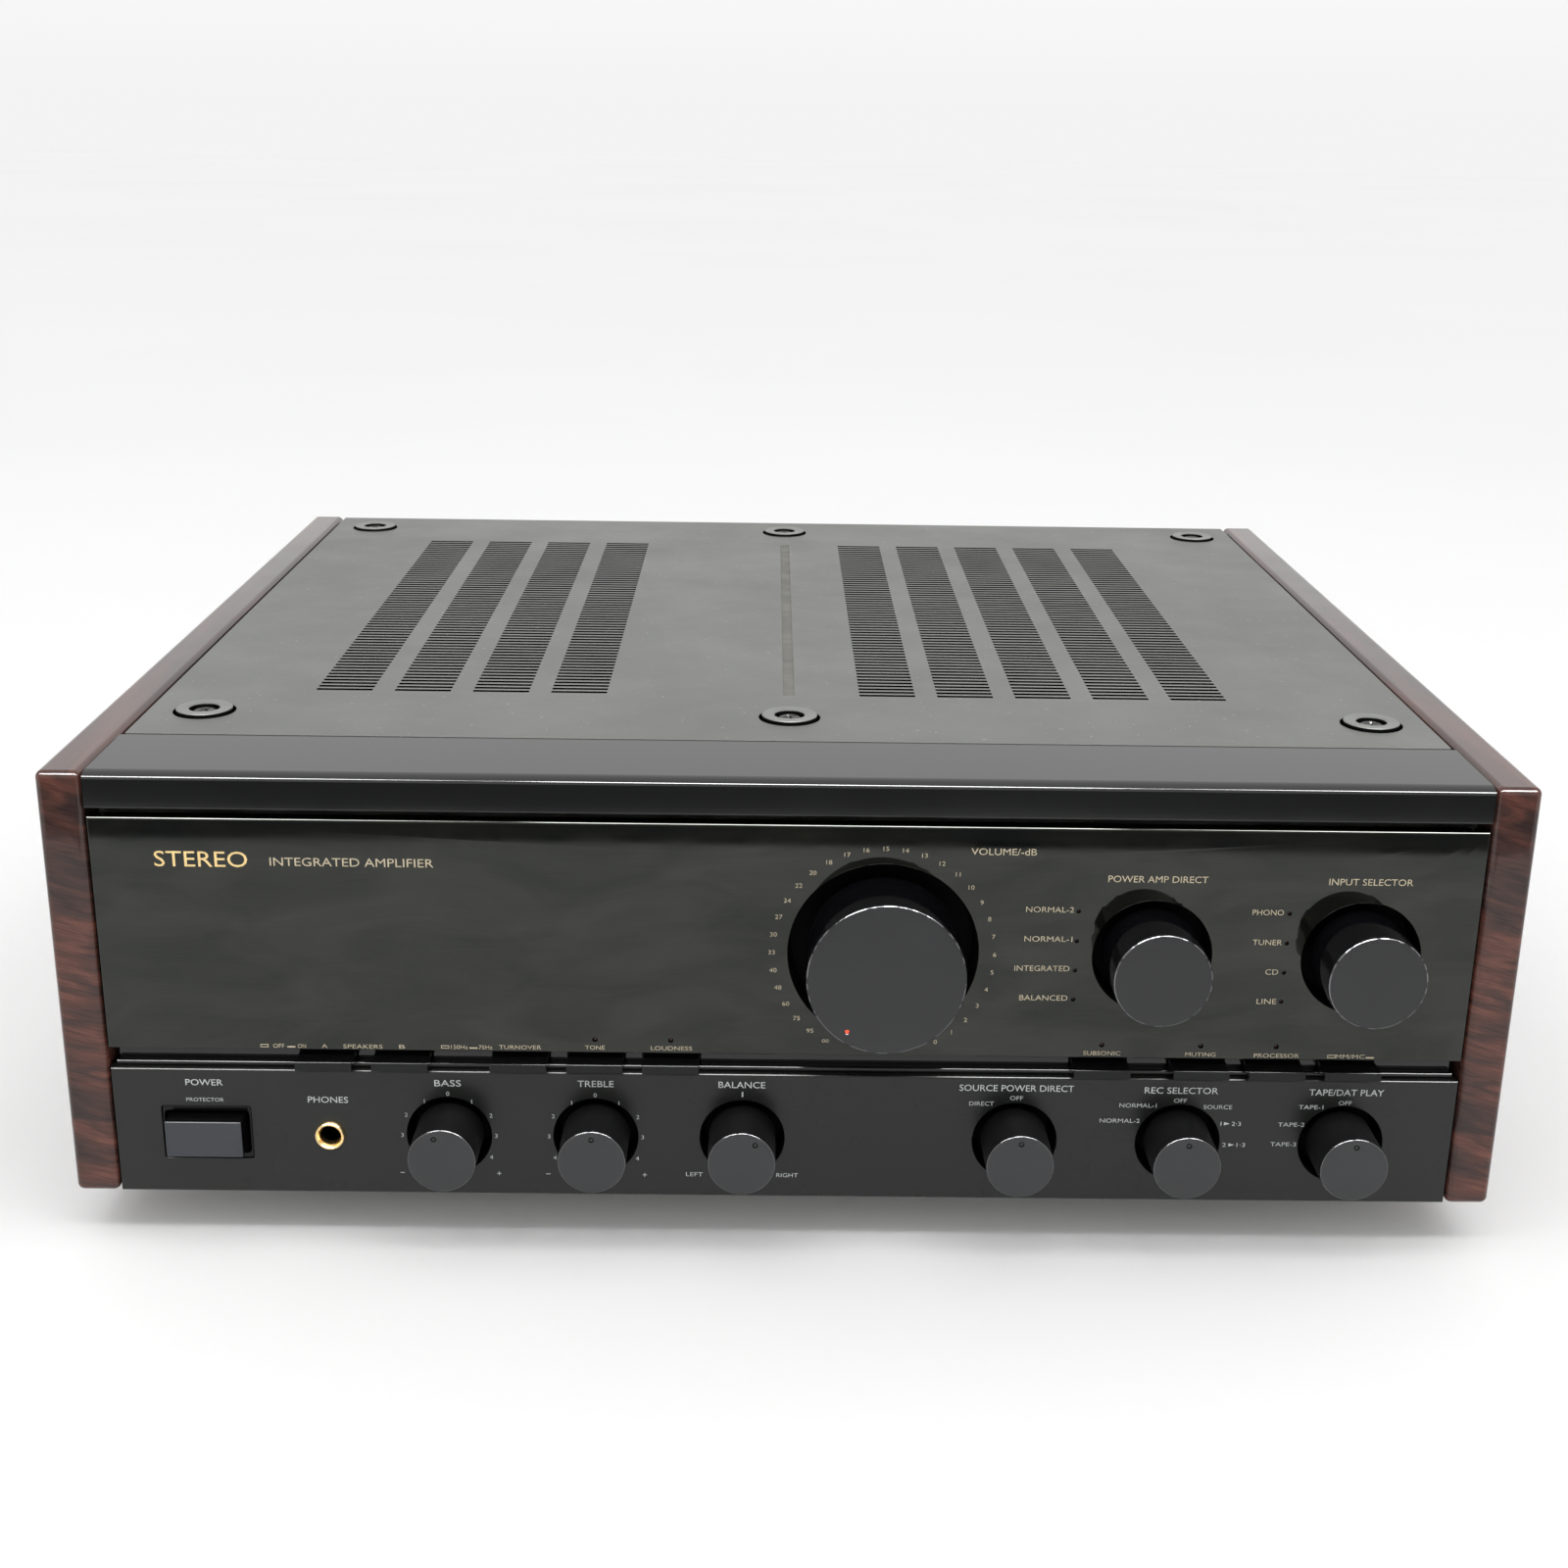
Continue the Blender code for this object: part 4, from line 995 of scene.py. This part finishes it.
def make_rear_panel():
    """Steel back with a window for the sockets, rows of cooling slots and its screws."""
    back = REAR_LOW.y
    through = sunk(REAR_FACE, back, (0.15, 0), (0, 0.15))
    outline = square_wall(REAR_LOW.x, REAR_LOW.z, REAR_HIGH.x, REAR_HIGH.z,
                          sunk(REAR_FACE, back, (-0.15, 0), (0, 0.15)), 0.6)
    gland_x, gland_z = axis_of("mains_gland")
    holes = [square_wall(-SOCKETS_HIGH.x - GAP, SOCKETS_LOW.z - GAP, -SOCKETS_LOW.x + GAP,
                         SOCKETS_HIGH.z + GAP, through),
             round_wall(-gland_x, gland_z, 7.0, 32, through)]
    for row in range(4):
        for i in range(9):
            x, z = 14 * i - 190, 8 * row + 96
            holes.append(square_wall(x, z, x + 10, z + 2.4, through, 1.15, 4))
    piece("rear_sheet", plate(outline, holes), "rear", rotation=FACING_BACK,
          stands_for="rear_panel")
    heads = [moved(cross_head(3.1, 1.4, 1.7), (-x, z, REAR_FACE),
                   Matrix.Rotation(0.7 * i, 3, "Z")) for i, (x, z) in enumerate(rear_screws())]
    piece("rear_screws", joined(heads), "screw", rotation=FACING_BACK)


def make_socket_block():
    """Moulded block with two balanced sockets: pins in a deep bore, a plated flange and its screws."""
    bores, inserts, flanges, screws = [], [], [], []
    for x in BALANCED_X:
        centre = (-x, BALANCED_Z)
        bores.append(round_wall(*centre, BALANCED_BORE, 48, stepped(0, SOCKET_FACE, (0, 0), (0, 11))))
        disc = round_wall(*centre, 7.0, 48, sunk(2.0, 0, (-0.4, 0), (0, 0.4)))
        pins = [round_wall(px, pz, 1.2, 20, stepped(0, 2.0, (0.15, 0), (0, 0.15), (0, 1.7)))
                for px, pz in arc(*centre, 3.6, 3.6, 90, 330, 2)]
        inserts.append(moved(plate(disc, pits=pins, pit_material=1), (0, 0, SOCKET_FACE - BALANCED_DEPTH)))
        edge = square_wall(-x - 13, BALANCED_Z - 15.5, -x + 13, BALANCED_Z + 15.5,
                           sunk(1.6, 0, (-0.4, 0), (0, 0.4)), 2.5, 5)
        rim = round_wall(*centre, BALANCED_BORE, 48, sunk(1.6, 0, (0.8, 0), (0, 0.7)))
        flanges.append(moved(plate(edge, [rim]), (0, 0, SOCKET_FACE)))
        screws += [moved(cross_head(2.4, 1.1, 1.3),
                         (-x + side * 9.6, BALANCED_Z + side * 12, SOCKET_FACE + 1.6))
                   for side in (-1, 1)]
    outline = square_wall(-SOCKETS_HIGH.x, SOCKETS_LOW.z, -SOCKETS_LOW.x, SOCKETS_HIGH.z,
                          sunk(SOCKET_FACE, SOCKETS_LOW.y, (-0.5, 0), (0, 0.5)), 1.2, 4)
    piece("socket_block", plate(outline, pits=bores), "socket", rotation=FACING_BACK,
          stands_for="line_jack_panel")
    for name, shapes, paints, slot in (("inserts", inserts, "socket gold", "socket_black"),
                                       ("flanges", flanges, "nickel", "chassis_steel"),
                                       ("screws", screws, "screw", "screw_black")):
        piece(f"balanced_{name}", joined(shapes), paints, rotation=FACING_BACK)


def make_phono_sockets():
    """Seven pairs of sockets: a gold shell and contact, a coloured insulator and its washer."""
    shell = ((3.3, 0), (5.4, 0), (5.4, 0.7), (4.15, 0.9), (4.15, 7.4), (3.95, 7.7), (3.5, 7.7), (3.3, 7.4))
    contact = ((0, 0.1), (1.65, 0.1), (1.65, 0.8), (0, 0.8))
    insulator = ((1.7, 0.2), (3.25, 0.2), (3.25, 6.6), (2.9, 6.9), (2.0, 6.9), (1.7, 6.6))
    washer = ((5.5, 0), (7.4, 0), (7.4, 0.3), (7.2, 0.5), (5.5, 0.5))
    shells = []
    for side, z, paint in (("right", PHONO_Z["right"], "red_ring"), ("left", PHONO_Z["left"], "white_ring")):
        rings = []
        for x in PHONO_X:
            place = (-x, z, SOCKET_FACE)
            shells += [moved(turned(shell, 40), place), moved(turned(contact, 16), place)]
            rings += [moved(turned(insulator, 32), place), moved(turned(washer, 40), place)]
        piece(f"phono_insulators_{side}", joined(rings), paint, rotation=FACING_BACK)
    piece("phono_shells", joined(shells), "gold", rotation=FACING_BACK)


def fluted(radius, depth, flutes=20, sides=120):
    """A circle of points with grip flutes cut into it."""
    points = []
    for i in range(sides):
        angle = 2 * math.pi * i / sides
        reach = radius - depth * abs(math.sin(flutes * angle / 2)) ** 3
        points.append((reach * math.cos(angle), reach * math.sin(angle)))
    return points


def make_terminal_cap(node, paint):
    """A moulded cap with grip flutes and a gold socket in its end, turning on its post."""
    low, high = place_of(node)
    x, z = axis_of(node)
    radius = (high.x - low.x) / 2
    grip = 0.45
    end = CAP_LENGTH
    rings = [(radius - 1.3, 0, end), (radius - 0.5, 0, end - 0.35),
             (radius - 0.05, 0.6 * grip, end - 1.3), (radius, grip, end - 2),
             (radius, grip, 2.6), (radius - 0.1, 0, 2.2), (radius - 0.1, 0, 0.5),
             (radius - 0.5, 0, 0)]
    outline = [ring(fluted(r, depth), level) for r, depth, level in rings]
    socket = round_wall(0, 0, 2.1, 32, stepped(0, end, (1.1, 0), (0.9, 0.6), (0.2, 0.7), (0, 0.9), (0, 6)))
    piece(f"{node}_fluted", plate(outline, pits=[socket], pit_material=1), f"{paint} gold",
          (x, low.y, z), FACING_BACK, node, node)


def make_speaker_terminals():
    """Moulded block with a collar for each terminal, and the caps that turn on them."""
    levels = sunk(TERMINAL_FACE, TERMINALS_LOW.y, (-0.6, 0), (0, 0.6))
    outline = square_wall(-TERMINALS_HIGH.x, TERMINALS_LOW.z, -TERMINALS_LOW.x, TERMINALS_HIGH.z,
                          levels, 2, 5)
    piece("terminal_plate", plate(outline), "socket", rotation=FACING_BACK,
          stands_for="speaker_terminal_block")
    for row, paint in (("lower", "cap_black"), ("upper", "cap_red")):
        collars = []
        for i in range(1, 5):
            node = f"terminal_cap_{row}_{i}"
            x, z = axis_of(node)
            seat = place_of(node)[0].y - TERMINAL_FACE
            collar = [(0, 0), (7.2, 0), *stepped(0, seat, (7.2, 1.4), (6.6, 0.9), (5.0, 0.9)),
                      (5.0, seat - GAP), (0, seat - GAP)]
            collars.append(moved(turned(collar, 48), (-x, z, TERMINAL_FACE)))
            make_terminal_cap(node, paint)
        piece(f"terminal_collars_{row}", joined(collars), paint, rotation=FACING_BACK)


def make_mains_gland():
    """Ribbed rubber bush that the mains lead would come through."""
    low, high = place_of("mains_gland")
    x, z = axis_of("mains_gland")
    radius, end, flange = (high.x - low.x) / 2, high.y, REAR_FACE + GAP
    bore, waist = 3.6, 6.5
    profile = [(bore, low.y), (waist, low.y), (waist, flange)]
    profile += stepped(radius, flange, (-0.3, 0), (0, -0.4), (-0.2, -1.2))
    for rib in range(3):
        profile += stepped(radius - (1.4 + 0.7 * rib), flange + (1.4 + 1.1 * rib),
                           (-0.5, 0), (0, -0.3), (0, -0.7))
    profile += stepped(bore, end, (0.7, 0), (0, 0.6))
    piece("mains_bush", turned(profile, 56), "gland", (x, 0, z), FACING_BACK,
          stands_for="mains_gland")


def make_rear_prints():
    """What each socket is for, in plain words."""
    words = [(text, -x, 84.5, SOCKET_FACE, 2.5) for text, x in zip(PHONO_NAMES, PHONO_X)]
    words += [(text, 186, z, SOCKET_FACE, 3.0) for text, z in zip("RL", PHONO_Z.values())]
    words += [("BALANCED", 0, 81, SOCKET_FACE, 2.5)]
    words += [(text, -x, 77, SOCKET_FACE, 2.5) for text, x in zip("LR", BALANCED_X)]
    left, right = -TERMINALS_HIGH.x, -TERMINALS_LOW.x
    middle = (left + right) / 2
    words += [(text, middle + dx, 74.5, TERMINAL_FACE, 3.2) for text, dx in (("B", -24), ("A", 24))]
    words += [(text, left + 3.5, z, TERMINAL_FACE, 3.2) for text, z in (("+", 62), ("-", 32))]
    gland_x, gland_z = axis_of("mains_gland")
    words += [("SPEAKERS", middle, 86, REAR_FACE, 3.0), ("AC IN", -gland_x, gland_z - 14, REAR_FACE, 3.0)]
    lines = [moved(glyphs(text, height, weight=0.0), (x, z, face)) for text, x, z, face, height in words]
    piece("print_rear", joined(lines), "print_white", rotation=FACING_BACK)


# ---- feet and inside ----
def make_feet():
    """Round feet: a waist, a broad sole and a plain pad under it."""
    for node in [f"foot_{row}_{side}" for row in ("front", "rear") for side in ("left", "right")]:
        low, high = place_of(node)
        radius, bottom, top = (high.x - low.x) / 2, low.z, high.z
        profile = [(0, top)] + stepped(radius, top, (-4.0, 0), (-3.2, 0.6), (-3.0, 4.0), (-1.6, 5.0))
        profile += arc(radius - 1.6, top - 7.0, 1.6, 2.0, 80, 0, 4)
        profile += stepped(radius, bottom, (0, -2.6), (-0.6, -1.6), (-3.0, -1.2), (-3.2, 0))
        profile += stepped(0, bottom, (9.0, 0), (8.4, -0.8), (3.0, -0.8), (2.4, -4.0), (0, -4.0))
        piece(f"{node}_moulded", turned(profile, 72), "rubber",
              ((low.x + high.x) / 2, (low.y + high.y) / 2, 0), stands_for=node)


CARRIED_OVER = {
    ("steel", "chassis_steel"): ("side_frame_left", "side_frame_right", "base_plate", "front_subframe"),
    ("can", "transformer_can"): ("power_transformer",),
    ("heat_sink", "heat_sink"): ("heat_sink_left", "heat_sink_right"),
    ("sleeve", "capacitor_sleeve"): ("capacitor_left", "capacitor_right"),
    ("board", "board_resin"): ("main_board", "control_board"),
}


def dress_carried_over():
    """The pieces inside keep their CAD shape and take a finished material."""
    for (paint, slot), names in CARRIED_OVER.items():
        for name in names:
            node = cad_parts[name]
            node.data.materials.clear()
            node.data.materials.append(MATERIALS[paint])


# ---- the stage ----
def make_floor():
    """A large round pale floor that stands still under the object."""
    radius, thickness = 14.0, 0.02
    profile = [(radius * share, 0) for share in (0, 0.2, 0.6, 1)] + [(radius, -thickness), (0, -thickness)]
    floor = put("floor", mesh_of("floor", turned(profile, 96)))
    floor.data.materials.append(finish("floor_white", 0.95, 0.8, mottle=0.01, mottle_size=1000,
                                       Specular_IOR_Level=0.0))


def make_flag():
    """A black studio flag low in front of the object, for the gloss front to reflect; no camera sees it."""
    flag = put("flag", mesh_of("flag", block((-1.6, -2.6, 0.004), (1.6, -0.576, 0.008), 0.001, 1)))
    flag.data.materials.append(finish("flag_black", (0.01, 0.01, 0.012), 0.9))
    flag.visible_camera = False
    flag.visible_diffuse = False
    flag.visible_shadow = False


def make_world():
    """Pale surroundings, a little darker at the horizon, where they meet the floor."""
    world = bpy.data.worlds.new("studio")
    bpy.context.scene.world = world
    world.use_nodes = True
    nodes, links = world.node_tree.nodes, world.node_tree.links
    direction = nodes.new("ShaderNodeTexCoord").outputs["Generated"]
    split = nodes.new("ShaderNodeSeparateXYZ")
    ramp = nodes.new("ShaderNodeValToRGB")
    set_stops(ramp.color_ramp.elements, ((0.0, 0.896), (0.08, 0.965), (0.4, 0.94)))
    links.new(direction, split.inputs["Vector"])
    links.new(split.outputs["Z"], ramp.inputs["Fac"])
    links.new(ramp.outputs["Color"], nodes["Background"].inputs["Color"])


def make_lights():
    """Soft strips overhead, a little in front of the object, and broader ones that only gloss shows."""
    height = 1.45
    aim = Vector((0, -0.2, 0.15))
    strips = ((-1.15, 0.3), (-0.6, 0.45), (0.05, 0.6), (0.7, 0.45), (1.2, 0.3))
    for kind, y, depth, radiance in (("soft", -0.75, 0.13, 10.0), ("glint", -0.86, 0.55, 40.0)):
        for i, (x, width) in enumerate(strips):
            light = bpy.data.lights.new(f"{kind}_strip_{i}", "AREA")
            light.shape = "RECTANGLE"
            light.size = width
            light.size_y = depth
            light.energy = radiance * math.pi * width * depth
            obj = put(light.name, light)
            obj.location = (x, y, height)
            obj.rotation_euler = (aim - obj.location).to_track_quat("-Z", "Y").to_euler()
            obj.visible_diffuse = kind == "soft"
            obj.visible_glossy = kind == "glint"


def make_camera():
    """The photograph's viewpoint: near, centred and looking down at the front."""
    camera = bpy.data.cameras.new("camera")
    camera.lens = 47.12
    camera.sensor_width = 36.0
    obj = put("camera", camera)
    obj.location = (-0.0083, -0.8036, 0.3598)
    obj.rotation_euler = tuple(math.radians(a) for a in (71.63, -0.81, -0.31))
    bpy.context.scene.camera = obj


make_side_panels()
make_cover()
make_cover_screws()
make_trim()
make_main_fascia()
make_lower_fascia()
make_lamps()
make_wells()
make_rail()
make_large_knobs()
make_small_knobs()
make_keys()
make_power_bezel()
make_phones_jack()
make_prints()
make_rear_panel()
make_socket_block()
make_phono_sockets()
make_speaker_terminals()
make_mains_gland()
make_rear_prints()
make_feet()
dress_carried_over()
make_floor()
make_flag()
make_world()
make_lights()
make_camera()
bpy.context.scene.view_settings.view_transform = "Standard"
